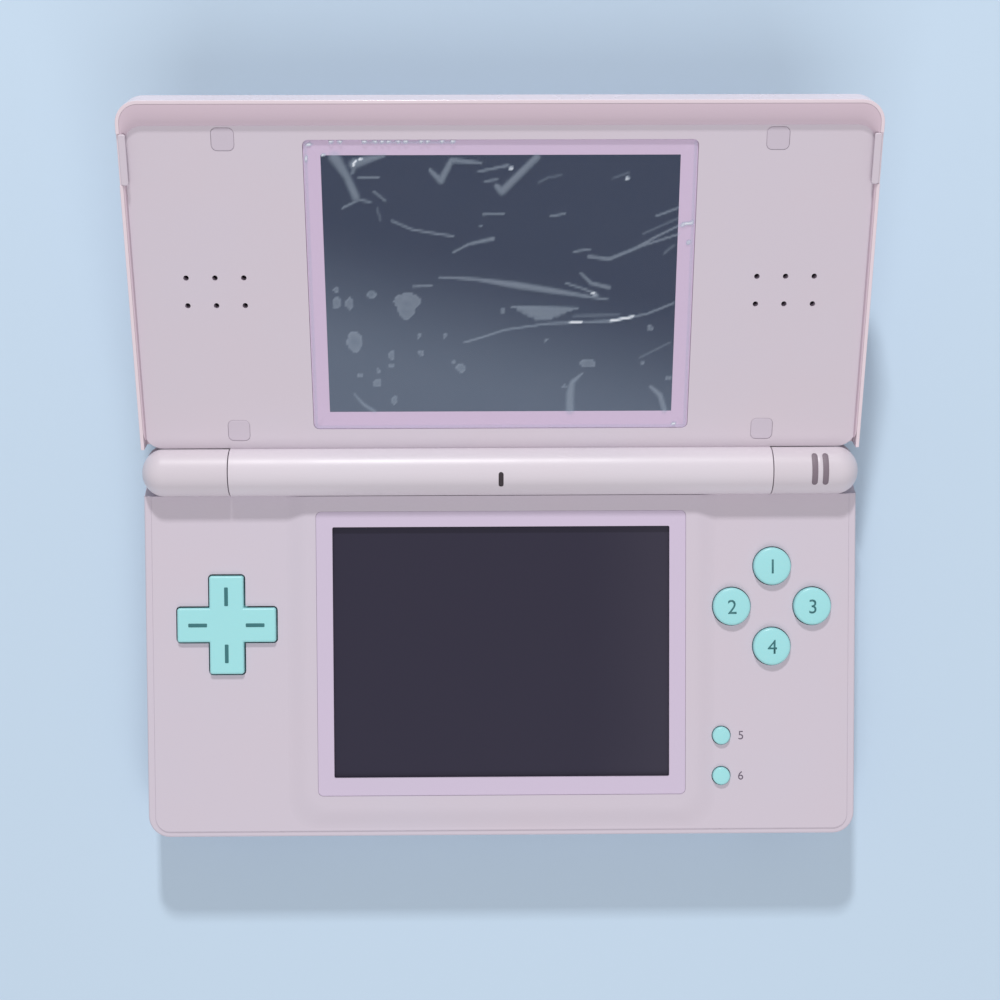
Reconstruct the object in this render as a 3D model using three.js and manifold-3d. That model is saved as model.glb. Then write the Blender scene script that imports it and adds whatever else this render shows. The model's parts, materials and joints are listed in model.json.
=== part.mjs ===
// Clamshell handheld game console, lying open on its feet: two screens, a barrel hinge, a direction pad,
// buttons, sliders, shoulder buttons, stylus, battery and boards.
// Millimetres. X is the width, Y runs from the front edge to the rear, Z is up.
// The base is drawn with Y measured from the hinge axis and Z from the table. The lid is drawn as if it
// were folded out flat: Y is then the distance from the hinge axis, and Z the height over that axis.

import * as THREE from 'three';
import { mergeVertices } from 'three/addons/utils/BufferGeometryUtils.js';
import Module from 'manifold-3d';

const wasm = await Module();
wasm.setup();

// Fits and finish
const gap = 0.3; // between neighbouring pieces, and round every button in its hole
const over = 3; // how far a cut runs past what it cuts
const roundSteps = 3; // facets across an edge rounding
const arcSteps = 3; // half the facets round a corner seen from above
const smallSteps = 1; // the same on a small corner
const drumSides = 24;
const weldDistance = 0.00001; // points nearer to each other than this are one point

// Driving dimensions
const sideDeck = 26; // foot of the raised middle to the side of the base
const frontDeck = 7.8; // lower screen's frame to the front edge
const farBand = 6.95; // upper screen's lens to the lid's far edge
const rearReach = 5.2; // rear wall to hinge axis
const cornerRadius = 4;
const foot = { radius: 3, stand: 0.6, seat: 0.5, acrossInset: 10.5, frontInset: 8.7, rearInset: 7.7 };
const parting = 6.2; // height of the seam between the base's two shells
const tub = { wall: 1.6, floor: 1.6, edge: 3, bossRadius: 3, bossTop: 5.9 };
const deck = {
  shoulder: 11.6, shoulderEdge: 0.85, sideInset: 1.3, frontInset: 1.4,
  top: 11.9, topEdge: 0.2, thickness: 1.5, wall: 2.6, beam: 1.6, beamHeight: 9.4, tunnelTop: 7.3,
};
const plateau = { top: 12.6, margin: 1.5, slope: 4.5, nose: 4.5 };
const hinge = {
  height: 12.6, radius: 4.4, clearance: 0.4, capLength: 16.3, dome: 4, pinRadius: 2.1,
  pinInCap: 6, pinInBarrel: 7, openAngle: 161.26,
};
const lid = {
  start: 4.7, back: 8.9, rim: 0.2, edge: 3.2, wall: 1.4, rimWall: 0.65, startCorner: 1.5,
  face: 0.9, lip: 0.05, lipWall: 0.45, cove: 1.4, plate: 2.1, bridge: 3,
};
const screen = { width: 62.9, depth: 47.2 };
const lowerScreen = {
  hingeMargin: 7.4, frameSide: 3.05, frameEnd: 3.15, frameDrop: 0.15, frameThickness: 0.55, frameCorner: 1,
  panelLap: 1.05, panelThickness: 1.2, lcdLap: 1.5, lcdThickness: 1.5, shelfShift: -0.25,
};
const upperScreen = {
  hingeMargin: 8.1, lensSide: 3.05, lensEnd: 3, lensDrop: 0.3, lensThickness: 0.8, lensCorner: 1,
  windowLap: 1, lcdLap: 2.5, lcdThickness: 2.2, filmInset: 0.3, filmThickness: 0.15,
};
const pad = {
  sideInset: 15.2, y: -28.5, span: 18.4, arm: 6.4, corner: 0.5, edge: 0.4, proud: 0.9, flange: 10.2,
};
const padSeat = {
  flangeThickness: 0.6, flangeRoom: 0.8, pivotRadius: 2.4, pivotThickness: 0.25, pivotRoom: 0.35,
};
const padMark = { length: 3.5, width: 0.75, depth: 0.25, offset: 5.35 };
const faceButton = {
  sideInset: 15.8, y: -25.5, offset: 7.55, radius: 3.5, proud: 1.2, crown: 0.35, flange: 4.5,
};
const menuButton = {
  sideInset: 25.2, startY: -49.9, selectY: -57.55, radius: 1.65, proud: 0.8, crown: 0.2, flange: 2.5,
};
const buttonFlange = 0.7; // thickness of the collar that keeps a button in
const buttonEdge = { turn: Math.PI / 3, riseShare: 0.85 }; // how a button's side rolls into its domed top
const rubberSheet = { clearance: 0.25, thickness: 0.25, margin: 4.2, menuMargin: 2.6 };
const board = {
  height: 7.4, thickness: 0.8, sideInset: 4.5, frontInset: 6.2, rear: 7, chip: 12, chipThickness: 0.25,
};
const battery = { sideInset: 9.5, cardClearance: 1.8, y: -32.5, depth: 27, height: 4.4, corner: 2 };
const batteryCover = { left: 1.5, right: 6.2, end: 1, thickness: 0.9, corner: 2 };
const coverScrew = {
  endInset: 2.8, cardClearance: 6, head: 1.6, headHeight: 0.7, shank: 0.6, tip: 5, boss: 2.2,
};
const casingScrew = {
  sideInset: 6.5, frontInset: 18.7, rearInset: 19.2,
  head: 1.8, headHeight: 1.3, sunk: 0.4, shank: 0.8, tip: 5.6,
};
const driverSlot = { length: 1.9, width: 0.5, depth: 0.4 };
const card = { halfWidth: 17, height: 4.3, depth: 35, rail: 1.2, roof: 0.5, setBack: 0.2, stop: 1 };
const cartridge = {
  halfWidth: 30, faceBottom: 2.9, faceTop: 8.7, faceThickness: 1.4, faceCorner: 0.8, plugHalfWidth: 29.4,
  plugBottom: 3.3, plugTop: 6.6, plugDepth: 8.6, shell: 0.5, shellDepth: 12.7, nailWidth: 12, nailDepth: 0.7,
};
const jack = {
  sideInset: 14.5, height: 6.9, bodyRadius: 3.1, collarRadius: 2.5, bore: 1.8,
  depth: 10.7, boreDepth: 8, sunk: 0.3,
};
const charge = {
  x: -32, halfWidth: 3.5, height: 4.1, front: 6, mouthHalfWidth: 2.5, mouthHeight: 2.6, mouthDepth: 6,
};
const shoulder = {
  length: 22.5, front: 0.8, bottom: 3, top: 6.9, travelRoom: 1.8, pinInset: 4, pinY: 2.9, pinRadius: 0.8,
};
const slider = { height: 8.4, high: 2, thick: 0.9, depth: 1.2, ribs: 3, rib: 0.3 };
const power = { y: -17, length: 5, travel: 2 };
const volume = { sideInset: 16.5, length: 5, travel: 8 };
const stylus = {
  y: -44, height: 4.75, radius: 2.3, tipClearance: 0.5, tip: 5, tipRadius: 0.7, nail: 1, nailLength: 3,
};
const speaker = {
  sideInset: 15.45, y: 34.25, radius: 8.5, thickness: 2.8, pitch: 5.15, hole: 0.55, columns: 3, rows: 2,
};
const bumper = {
  sideInset: 18.2, farInset: 6.8, nearY: 7.95, side: 4, corner: 1, thickness: 0.7, proud: 0.1,
};
const lug = { sideInset: 0.3, width: 1.3, farInset: 5.75, length: 8.9, top: 0.25, seat: 0.3, corner: 0.4 };
const mic = { halfWidth: 0.45, halfLength: 1.25, sunk: 0.25, depth: 1.3 };
const lightGuide = {
  powerInset: 8.6, chargeInset: 6.8, width: 0.65, front: -2.6, rear: 3.2, sunk: 0.1, depth: 1.6,
};

// Sizes that follow
const lowerScreenY = -lowerScreen.hingeMargin - lowerScreen.frameEnd - screen.depth / 2
  - lowerScreen.shelfShift;
const upperScreenY = upperScreen.hingeMargin + upperScreen.lensEnd + screen.depth / 2;
const frame = {
  halfWidth: screen.width / 2 + lowerScreen.frameSide,
  front: -lowerScreen.hingeMargin - screen.depth - 2 * lowerScreen.frameEnd,
  rear: -lowerScreen.hingeMargin,
  top: plateau.top - lowerScreen.frameDrop,
  bottom: plateau.top - lowerScreen.frameDrop - lowerScreen.frameThickness,
};
const lens = {
  halfWidth: screen.width / 2 + upperScreen.lensSide,
  near: upperScreen.hingeMargin,
  far: upperScreen.hingeMargin + screen.depth + 2 * upperScreen.lensEnd,
};
const plateauHalf = frame.halfWidth + plateau.margin;
const halfWidth = plateauHalf + plateau.slope + sideDeck;
const width = 2 * halfWidth;
const frontReach = frontDeck - frame.front; // front edge to hinge axis
const lidReach = lens.far + farBand; // far edge of the lid to hinge axis
const hingeSeam = halfWidth - hinge.capLength;
const padX = pad.sideInset - halfWidth;
const faceX = halfWidth - faceButton.sideInset;
const menuX = halfWidth - menuButton.sideInset;
const boardHalf = halfWidth - board.sideInset;
const boardFront = board.frontInset - frontReach;
const cardFront = rearReach - card.setBack - card.depth;
const batteryLeft = battery.sideInset - halfWidth;
const batteryRight = -card.halfWidth - card.rail - battery.cardClearance;
const batteryWidth = batteryRight - batteryLeft;
const batteryX = (batteryLeft + batteryRight) / 2;
const jackX = halfWidth - jack.sideInset;
const jackRear = jack.depth - frontReach;
const slotRear = cartridge.shellDepth - frontReach;
const shoulderInner = halfWidth - shoulder.length;
const volumeRun = { ...volume, x: volume.sideInset - halfWidth };
const speakerX = halfWidth - speaker.sideInset;
const bumperX = halfWidth - bumper.sideInset;
const lugBox = {
  inner: halfWidth - lug.sideInset - lug.width, outer: halfWidth - lug.sideInset,
  start: lidReach - lug.farInset - lug.length, end: lidReach - lug.farInset,
};
const floorTop = foot.stand + tub.floor;
const deckUnderside = deck.top - deck.thickness;
const troughRadius = hinge.radius + hinge.clearance;
const lidTilt = THREE.MathUtils.degToRad(180 - hinge.openAngle);
const lidFarReach = (lidReach - lid.edge) * Math.cos(lidTilt)
  + (lid.back - lid.edge) * Math.sin(lidTilt) + lid.edge;
const originShift = (frontReach - lidFarReach) / 2; // puts the origin under the middle of the open object

const finishes = {
  shell: { color: 0xdccdd6, roughness: 0.45 },
  rosy: { color: 0xd5bfc9, roughness: 0.45 },
  lilac: { color: 0xcdb8d6, roughness: 0.35 },
  mint: { color: 0xa8e2e2, roughness: 0.4 },
  glass: { color: 0x37344a, roughness: 0.1 },
  lens: { color: 0x515868, roughness: 0.1 },
  film: { color: 0xb9c2cc, roughness: 0.2 },
  rubber: { color: 0xc4b9c4, roughness: 0.8 },
  grey: { color: 0x8d8794, roughness: 0.7 },
  dark: { color: 0x3a3a42, roughness: 0.6 },
  metal: { color: 0xb8bac0, roughness: 0.3, metalness: 0.9 },
  circuit: { color: 0x3c6b52, roughness: 0.6 },
};

// A closed geometry becomes a solid that can be joined and cut.
function solidFrom(geometry) {
  const bare = geometry.clone();
  bare.deleteAttribute('normal');
  bare.deleteAttribute('uv');
  const merged = mergeVertices(bare, weldDistance);
  return new wasm.Manifold(new wasm.Mesh({
    numProp: 3,
    vertProperties: new Float32Array(merged.attributes.position.array),
    triVerts: new Uint32Array(merged.index.array),
  }));
}

function geometryFrom(solid) {
  const mesh = solid.getMesh();
  const geometry = new THREE.BufferGeometry();
  geometry.setAttribute('position', new THREE.BufferAttribute(new Float32Array(mesh.vertProperties), 3));
  geometry.setIndex(new THREE.BufferAttribute(new Uint32Array(mesh.triVerts), 1));
  geometry.computeVertexNormals();
  return geometry;
}

function joined(...solids) {
  return solids.reduce((whole, solid) => whole.add(solid));
}

function cut(solid, ...tools) {
  return tools.reduce((rest, tool) => rest.subtract(tool), solid);
}

// A rectangle with rounded corners; nearRadius is for the two corners at y0.
function rectShape(x0, x1, y0, y1, farRadius = 0, nearRadius = farRadius) {
  const shape = new THREE.Shape();
  const quarter = Math.PI / 2;
  if (farRadius === 0 && nearRadius === 0) {
    shape.moveTo(x0, y0);
    shape.lineTo(x1, y0);
    shape.lineTo(x1, y1);
    shape.lineTo(x0, y1);
    return shape;
  }
  shape.moveTo(x0 + nearRadius, y0);
  shape.lineTo(x1 - nearRadius, y0);
  shape.absarc(x1 - nearRadius, y0 + nearRadius, nearRadius, -quarter, 0);
  shape.lineTo(x1, y1 - farRadius);
  shape.absarc(x1 - farRadius, y1 - farRadius, farRadius, 0, quarter);
  shape.lineTo(x0 + farRadius, y1);
  shape.absarc(x0 + farRadius, y1 - farRadius, farRadius, quarter, 2 * quarter);
  shape.lineTo(x0, y0 + nearRadius);
  shape.absarc(x0 + nearRadius, y0 + nearRadius, nearRadius, 2 * quarter, 3 * quarter);
  return shape;
}

function slab(shape, low, high, steps = arcSteps) {
  const geometry = new THREE.ExtrudeGeometry(shape, {
    depth: high - low, bevelEnabled: false, curveSegments: steps,
  });
  return solidFrom(geometry.translate(0, 0, low));
}

// The same, for a shape drawn across Y and Z that runs along X.
function slabX(shape, x0, x1, steps = arcSteps) {
  const geometry = new THREE.ExtrudeGeometry(shape, {
    depth: x1 - x0, bevelEnabled: false, curveSegments: steps,
  });
  return solidFrom(geometry.rotateY(Math.PI / 2).rotateX(Math.PI / 2).translate(x0, 0, 0));
}

function block(x0, x1, y0, y1, z0, z1) {
  const geometry = new THREE.BoxGeometry(x1 - x0, y1 - y0, z1 - z0);
  return solidFrom(geometry.translate((x0 + x1) / 2, (y0 + y1) / 2, (z0 + z1) / 2));
}

// A slab whose lower or upper edge is rounded: the bevelled form is trimmed to the band that is rounded.
function roundedSlab(shape, low, high, lowEdge, highEdge, lowEdgeWidth = lowEdge, steps = arcSteps) {
  const parts = [slab(shape, low + lowEdge, high - highEdge, steps)];
  const bevelled = (edge, edgeWidth) => new THREE.ExtrudeGeometry(shape, {
    depth: high - low, bevelEnabled: true, bevelThickness: edge, bevelSize: edgeWidth,
    bevelOffset: -edgeWidth, bevelSegments: roundSteps, curveSegments: steps,
  });
  const reach = 2 * width;
  if (lowEdge > 0) {
    const band = block(-reach, reach, -reach, reach, low, low + lowEdge);
    parts.push(solidFrom(bevelled(lowEdge, lowEdgeWidth).translate(0, 0, low + lowEdge)).intersect(band));
  }
  if (highEdge > 0) {
    const band = block(-reach, reach, -reach, reach, high - highEdge, high);
    parts.push(solidFrom(bevelled(highEdge, highEdge).translate(0, 0, low - highEdge)).intersect(band));
  }
  return joined(...parts);
}

function drumZ(radius, x, y, low, high, sides = drumSides) {
  const geometry = new THREE.CylinderGeometry(radius, radius, high - low, sides);
  return solidFrom(geometry.rotateX(Math.PI / 2).translate(x, y, (low + high) / 2));
}

function drumY(radius, x, z, front, rear, sides = drumSides) {
  const geometry = new THREE.CylinderGeometry(radius, radius, rear - front, sides);
  return solidFrom(geometry.translate(x, (front + rear) / 2, z));
}

function drumX(radius, x0, x1, y, z, sides = drumSides) {
  const geometry = new THREE.CylinderGeometry(radius, radius, x1 - x0, sides);
  return solidFrom(geometry.rotateZ(Math.PI / 2).translate((x0 + x1) / 2, y, z));
}

// A body turned about the Z axis; the profile is a list of [radius, height] from the bottom up.
function turned(profile, x, y, sides = drumSides) {
  const points = profile.map(([radius, height]) => new THREE.Vector2(radius, height));
  return solidFrom(new THREE.LatheGeometry(points, sides).rotateX(Math.PI / 2).translate(x, y, 0));
}

// A plus sign with slightly rounded tips.
function crossShape(x, y, span, arm, corner) {
  const shape = new THREE.Shape();
  const tip = span / 2;
  const side = arm / 2;
  for (let k = 0; k < 4; k += 1) {
    const turn = (k * Math.PI) / 2;
    const at = (along, across) => [
      x + along * Math.cos(turn) - across * Math.sin(turn),
      y + along * Math.sin(turn) + across * Math.cos(turn),
    ];
    if (k === 0) {
      shape.moveTo(...at(side, -side));
    } else {
      shape.lineTo(...at(side, -side));
    }
    shape.lineTo(...at(tip - corner, -side));
    shape.lineTo(...at(tip, -side + corner));
    shape.lineTo(...at(tip, side - corner));
    shape.lineTo(...at(tip - corner, side));
  }
  return shape;
}

const baseGroup = new THREE.Group();
baseGroup.position.y = originShift;
const lidGroup = new THREE.Group();
lidGroup.position.set(0, originShift, hinge.height);
lidGroup.rotation.x = lidTilt;
const wholeConsole = new THREE.Group();
wholeConsole.add(baseGroup, lidGroup);

function place(group, name, finish, solid) {
  const mesh = new THREE.Mesh(geometryFrom(solid), new THREE.MeshStandardMaterial(finishes[finish]));
  mesh.name = name;
  group.add(mesh);
}

// The base's outline, drawn in from its outer edge by inset.
function baseOutline(inset) {
  return rectShape(
    inset - halfWidth, halfWidth - inset, inset - frontReach, rearReach - inset,
    Math.max(cornerRadius - inset, cornerRadius / 4),
  );
}

const buttonHoles = [
  ...['top', 'left', 'right', 'bottom'].map((side) => {
    const across = { top: 0, left: -1, right: 1, bottom: 0 }[side];
    const along = { top: 1, left: 0, right: 0, bottom: -1 }[side];
    return {
      name: `button_${side}`, ...faceButton,
      x: faceX + across * faceButton.offset, y: faceButton.y + along * faceButton.offset,
    };
  }),
  { name: 'start_button', ...menuButton, x: menuX, y: menuButton.startY },
  { name: 'select_button', ...menuButton, x: menuX, y: menuButton.selectY },
];

const deckTopOf = { x: halfWidth - deck.sideInset, front: frontReach - deck.frontInset };
const panelTop = frame.bottom - gap;
const panelBottom = panelTop - lowerScreen.panelThickness;

// What passes through both shells of the base: sockets, slots, the stylus and the shoulder buttons.
function wallOpenings() {
  const openings = [
    block(-card.halfWidth - card.rail - gap, card.halfWidth + card.rail + gap,
      -card.depth, rearReach + over, floorTop, deck.tunnelTop),
    block(charge.x - charge.halfWidth - gap, charge.x + charge.halfWidth + gap,
      -charge.front - gap, rearReach + over, floorTop, floorTop + charge.height + 2 * gap),
    block(-cartridge.halfWidth - gap, cartridge.halfWidth + gap,
      -frontReach - over, -frontReach + over + gap, cartridge.faceBottom - gap, cartridge.faceTop + gap),
    drumY(jack.collarRadius + gap, jackX, jack.height,
      -frontReach - over, -frontReach + over, drumSides / 2),
    drumX(stylus.radius + gap, halfWidth - over, halfWidth + over, stylus.y, stylus.height, drumSides / 2),
  ];
  for (const side of [-1, 1]) {
    const inner = side * (shoulderInner - gap);
    const outer = side * (halfWidth + over);
    const pocketEnd = side * (halfWidth - tub.wall - gap);
    const bottom = shoulder.bottom - gap;
    openings.push(block(Math.min(inner, outer), Math.max(inner, outer),
      shoulder.front - gap, rearReach + over, bottom, deck.tunnelTop));
    openings.push(block(Math.min(inner, pocketEnd), Math.max(inner, pocketEnd),
      shoulder.front - shoulder.travelRoom, shoulder.front, bottom, deck.tunnelTop));
  }
  return openings;
}

function plateauSolid() {
  const profile = new THREE.Shape();
  profile.moveTo(-plateauHalf - plateau.slope, deck.top);
  profile.lineTo(-plateauHalf - plateau.slope, deckUnderside);
  profile.lineTo(plateauHalf + plateau.slope, deckUnderside);
  profile.lineTo(plateauHalf + plateau.slope, deck.top);
  profile.lineTo(plateauHalf, plateau.top);
  profile.lineTo(-plateauHalf, plateau.top);
  const ridge = new THREE.ExtrudeGeometry(profile, { depth: frontReach, bevelEnabled: false });
  ridge.rotateX(Math.PI / 2); // the profile now stands across X and Z, and runs to the front
  const noseRear = -deckTopOf.front + deck.topEdge / 2 + plateau.nose;
  const noseShape = new THREE.Shape();
  noseShape.moveTo(noseRear - plateau.nose, deck.top);
  noseShape.lineTo(noseRear, plateau.top);
  noseShape.lineTo(noseRear, plateau.top + over);
  noseShape.lineTo(-frontReach - over, plateau.top + over);
  noseShape.lineTo(-frontReach - over, deckUnderside - over);
  noseShape.lineTo(noseRear - plateau.nose, deckUnderside - over);
  return cut(solidFrom(ridge), slabX(noseShape, -halfWidth, halfWidth));
}

function makeDeck() {
  const topShape = rectShape(-deckTopOf.x, deckTopOf.x, -deckTopOf.front, rearReach - deck.sideInset,
    cornerRadius - deck.sideInset);
  const cavity = rectShape(deck.wall - halfWidth, halfWidth - deck.wall, deck.wall - frontReach,
    -troughRadius - deck.beam, deck.beam);
  const panelLap = lowerScreen.panelLap + gap;
  let solid = joined(
    roundedSlab(baseOutline(0), parting + gap / 2, deck.shoulder, 0, deck.shoulderEdge),
    roundedSlab(topShape, deck.shoulder - deck.thickness, deck.top, 0, deck.topEdge),
    plateauSolid(),
  );
  solid = cut(solid,
    slab(cavity, parting - over, deckUnderside),
    drumX(troughRadius, -halfWidth - over, halfWidth + over, 0, hinge.height, 2 * drumSides),
    block(-halfWidth - over, halfWidth + over, 0, rearReach + over, deck.beamHeight, hinge.height + over),
    slab(rectShape(-frame.halfWidth - gap, frame.halfWidth + gap, frame.front - gap, frame.rear + gap,
      lowerScreen.frameCorner), frame.bottom - gap, plateau.top + over, smallSteps),
    block(-screen.width / 2 - panelLap, screen.width / 2 + panelLap,
      lowerScreenY - screen.depth / 2 - panelLap, lowerScreenY + screen.depth / 2 + panelLap,
      deckUnderside - over, plateau.top + over),
    slab(crossShape(padX, pad.y, pad.span + 2 * gap, pad.arm + 2 * gap, pad.corner),
      deckUnderside - over, plateau.top + over),
    ...buttonHoles.map((hole) => drumZ(
      hole.radius + gap, hole.x, hole.y, deckUnderside - over, plateau.top + over,
    )),
    ...wallOpenings(),
    sliderPocket(power, 'side'),
    sliderPocket(volumeRun, 'front'),
  );
  place(baseGroup, 'base_deck', 'shell', solid);
}

// The pocket in the deck's wall that a slider runs in; it starts at one end of its travel.
function sliderPocket(which, wall) {
  const half = (slider.high + 2 * gap) / 2;
  const low = slider.height - half;
  const high = slider.height + half;
  const start = -which.length / 2 - gap;
  const end = which.length / 2 + which.travel + gap;
  if (wall === 'side') {
    return block(halfWidth - slider.depth, halfWidth + over, which.y + start, which.y + end, low, high);
  }
  return block(which.x + start, which.x + end, -frontReach - over, slider.depth - frontReach, low, high);
}

function makeSlider(name, which, wall) {
  const low = slider.height - slider.high / 2;
  const high = slider.height + slider.high / 2;
  const half = which.length / 2;
  const pitch = which.length / (slider.ribs + 1);
  const grooves = [];
  let knob;
  if (wall === 'side') {
    knob = block(halfWidth - slider.thick, halfWidth, which.y - half, which.y + half, low, high);
  } else {
    knob = block(which.x - half, which.x + half, -frontReach, slider.thick - frontReach, low, high);
  }
  for (let k = 1; k <= slider.ribs; k += 1) {
    const at = k * pitch - half;
    const r0 = at - slider.rib / 2;
    const r1 = at + slider.rib / 2;
    if (wall === 'side') {
      grooves.push(block(halfWidth - slider.rib, halfWidth + over, which.y + r0, which.y + r1,
        low - over, high + over));
    } else {
      grooves.push(block(which.x + r0, which.x + r1, -frontReach - over, slider.rib - frontReach,
        low - over, high + over));
    }
  }
  place(baseGroup, name, 'shell', cut(knob, ...grooves));
}

const footPlaces = [];
for (const side of [-1, 1]) {
  for (const end of ['front', 'rear']) {
    footPlaces.push({
      name: `foot_${end}_${side < 0 ? 'left' : 'right'}`,
      x: side * (halfWidth - foot.acrossInset),
      y: end === 'front' ? foot.frontInset - frontReach : rearReach - foot.rearInset,
    });
  }
}

const screwPlaces = [];
for (const y of [casingScrew.frontInset - frontReach, rearReach - casingScrew.rearInset]) {
  for (const side of [-1, 1]) {
    screwPlaces.push({ x: side * (halfWidth - casingScrew.sideInset), y });
  }
}
const screwHeadBottom = foot.stand + casingScrew.sunk;
const screwHeadTop = screwHeadBottom + casingScrew.headHeight;

const coverBox = {
  x0: batteryLeft - batteryCover.left,
  x1: batteryRight + batteryCover.right,
  y0: battery.y - battery.depth / 2 - batteryCover.end,
  y1: battery.y + battery.depth / 2 + batteryCover.end,
  top: foot.stand + batteryCover.thickness,
};
const coverScrewAt = { x: coverBox.x1 - coverScrew.endInset, y: cardFront - coverScrew.cardClearance };

function coverShape(margin) {
  return rectShape(coverBox.x0 - margin, coverBox.x1 + margin, coverBox.y0 - margin, coverBox.y1 + margin,
    batteryCover.corner);
}

function batteryShape(margin) {
  const dx = batteryWidth / 2 + margin;
  const dy = battery.depth / 2 + margin;
  return rectShape(batteryX - dx, batteryX + dx, battery.y - dy, battery.y + dy, battery.corner);
}

function makeTub() {
  const inner = rectShape(tub.wall - halfWidth, halfWidth - tub.wall,
    tub.wall - frontReach, rearReach - tub.wall, cornerRadius - tub.wall);
  const sides = drumSides / 2;
  const bossBottom = foot.stand + tub.floor / 2;
  const bosses = screwPlaces.map(({ x, y }) => drumZ(tub.bossRadius, x, y, bossBottom, tub.bossTop, sides));
  bosses.push(drumZ(
    coverScrew.boss, coverScrewAt.x, coverScrewAt.y, coverBox.top + 2 * gap, tub.bossTop, sides,
  ));
  const shell = cut(
    roundedSlab(baseOutline(0), foot.stand, parting - gap / 2, tub.edge, 0),
    slab(inner, floorTop, parting + over),
  );
  const footSeat = foot.stand + foot.seat + gap;
  const cuts = [
    ...footPlaces.map(({ x, y }) => drumZ(foot.radius + gap, x, y, -over, footSeat, sides)),
    ...screwPlaces.map(({ x, y }) => drumZ(casingScrew.head + gap, x, y, -over, screwHeadTop + gap, sides)),
    ...screwPlaces.map(({ x, y }) => drumZ(casingScrew.shank + gap, x, y, -over, parting + over, sides)),
    drumZ(coverScrew.shank + gap, coverScrewAt.x, coverScrewAt.y, -over, parting + over, sides),
    slab(coverShape(gap), -over, coverBox.top + gap, smallSteps),
    slab(batteryShape(gap), -over, floorTop + over, smallSteps),
    ...wallOpenings(),
  ];
  place(baseGroup, 'base_tub', 'shell', cut(joined(shell, ...bosses), ...cuts));
}

function driverCut(x, y, bottom) {
  return block(x - driverSlot.length / 2, x + driverSlot.length / 2, y - driverSlot.width / 2,
    y + driverSlot.width / 2, bottom - over, bottom + driverSlot.depth);
}

function makeUnderside() {
  footPlaces.forEach(({ name, x, y }) => {
    place(baseGroup, name, 'grey', drumZ(foot.radius, x, y, 0, foot.stand + foot.seat, drumSides / 2));
  });
  screwPlaces.forEach(({ x, y }, k) => {
    const screw = joined(
      drumZ(casingScrew.head, x, y, screwHeadBottom, screwHeadTop, drumSides / 2),
      drumZ(casingScrew.shank, x, y, screwHeadBottom, casingScrew.tip, drumSides / 2),
    );
    place(baseGroup, `casing_screw_${k + 1}`, 'metal', cut(screw, driverCut(x, y, screwHeadBottom)));
  });
  const cover = slab(coverShape(0), foot.stand, coverBox.top, smallSteps);
  const { x, y } = coverScrewAt;
  const headBottom = coverBox.top - coverScrew.headHeight;
  const screwHole = drumZ(coverScrew.head + gap, x, y, -over, coverBox.top + over, drumSides / 2);
  place(baseGroup, 'battery_cover', 'shell', cut(cover, screwHole));
  const screw = joined(
    drumZ(coverScrew.head, x, y, headBottom, coverBox.top, drumSides / 2),
    drumZ(coverScrew.shank, x, y, foot.stand + gap, coverScrew.tip, drumSides / 2),
  );
  place(baseGroup, 'battery_cover_screw', 'metal', cut(screw, driverCut(x, y, headBottom)));
  const cellBottom = coverBox.top + gap;
  place(baseGroup, 'battery_pack', 'grey', slab(batteryShape(0), cellBottom,
    floorTop + gap + battery.height, smallSteps));
}

function makeBoards() {
  const boardTop = board.height + board.thickness;
  const sheetLow = boardTop + rubberSheet.clearance;
  const chips = [-board.chip, board.chip].map((offset) => block(-board.chip / 2, board.chip / 2,
    lowerScreenY + offset - board.chip / 2, lowerScreenY + offset + board.chip / 2,
    boardTop - board.thickness / 2, boardTop + board.chipThickness));
  const plate = slab(rectShape(-boardHalf, boardHalf, boardFront, -board.rear, cornerRadius / 2),
    board.height, boardTop, smallSteps);
  const jackNotch = block(jackX - jack.bodyRadius - gap, jackX + jack.bodyRadius + gap, boardFront - over,
    jackRear + gap, board.height - over, boardTop + over);
  place(baseGroup, 'main_board', 'circuit', cut(joined(plate, ...chips), jackNotch));
  const sheetTop = sheetLow + rubberSheet.thickness;
  const reach = faceButton.offset + rubberSheet.margin;
  const faceSheet = rectShape(faceX - reach, faceX + reach, faceButton.y - reach, faceButton.y + reach,
    rubberSheet.margin);
  place(baseGroup, 'face_button_pad', 'rubber', slab(faceSheet, sheetLow, sheetTop, smallSteps));
  const menuMargin = rubberSheet.menuMargin;
  const menuSheet = rectShape(menuX - menuMargin, menuX + menuMargin,
    menuButton.selectY - menuMargin, menuButton.startY + menuMargin, menuMargin);
  place(baseGroup, 'menu_button_pad', 'rubber', slab(menuSheet, sheetLow, sheetTop, smallSteps));
}

function makeLowerScreen() {
  const ringShape = rectShape(-frame.halfWidth, frame.halfWidth, frame.front, frame.rear,
    lowerScreen.frameCorner);
  const ring = slab(ringShape, frame.bottom, frame.top, smallSteps);
  const window = block(-screen.width / 2, screen.width / 2, lowerScreenY - screen.depth / 2,
    lowerScreenY + screen.depth / 2, frame.bottom - over, frame.top + over);
  place(baseGroup, 'lower_screen_frame', 'lilac', cut(ring, window));
  const lap = lowerScreen.panelLap;
  place(baseGroup, 'touch_panel', 'glass', block(-screen.width / 2 - lap, screen.width / 2 + lap,
    lowerScreenY - screen.depth / 2 - lap, lowerScreenY + screen.depth / 2 + lap, panelBottom, panelTop));
  const lcdLap = lowerScreen.lcdLap;
  const lcdTop = deckUnderside - gap;
  place(baseGroup, 'touch_lcd', 'dark', block(-screen.width / 2 - lcdLap, screen.width / 2 + lcdLap,
    lowerScreenY - screen.depth / 2 - lcdLap, lowerScreenY + screen.depth / 2 + lcdLap,
    lcdTop - lowerScreen.lcdThickness, lcdTop));
}

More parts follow.
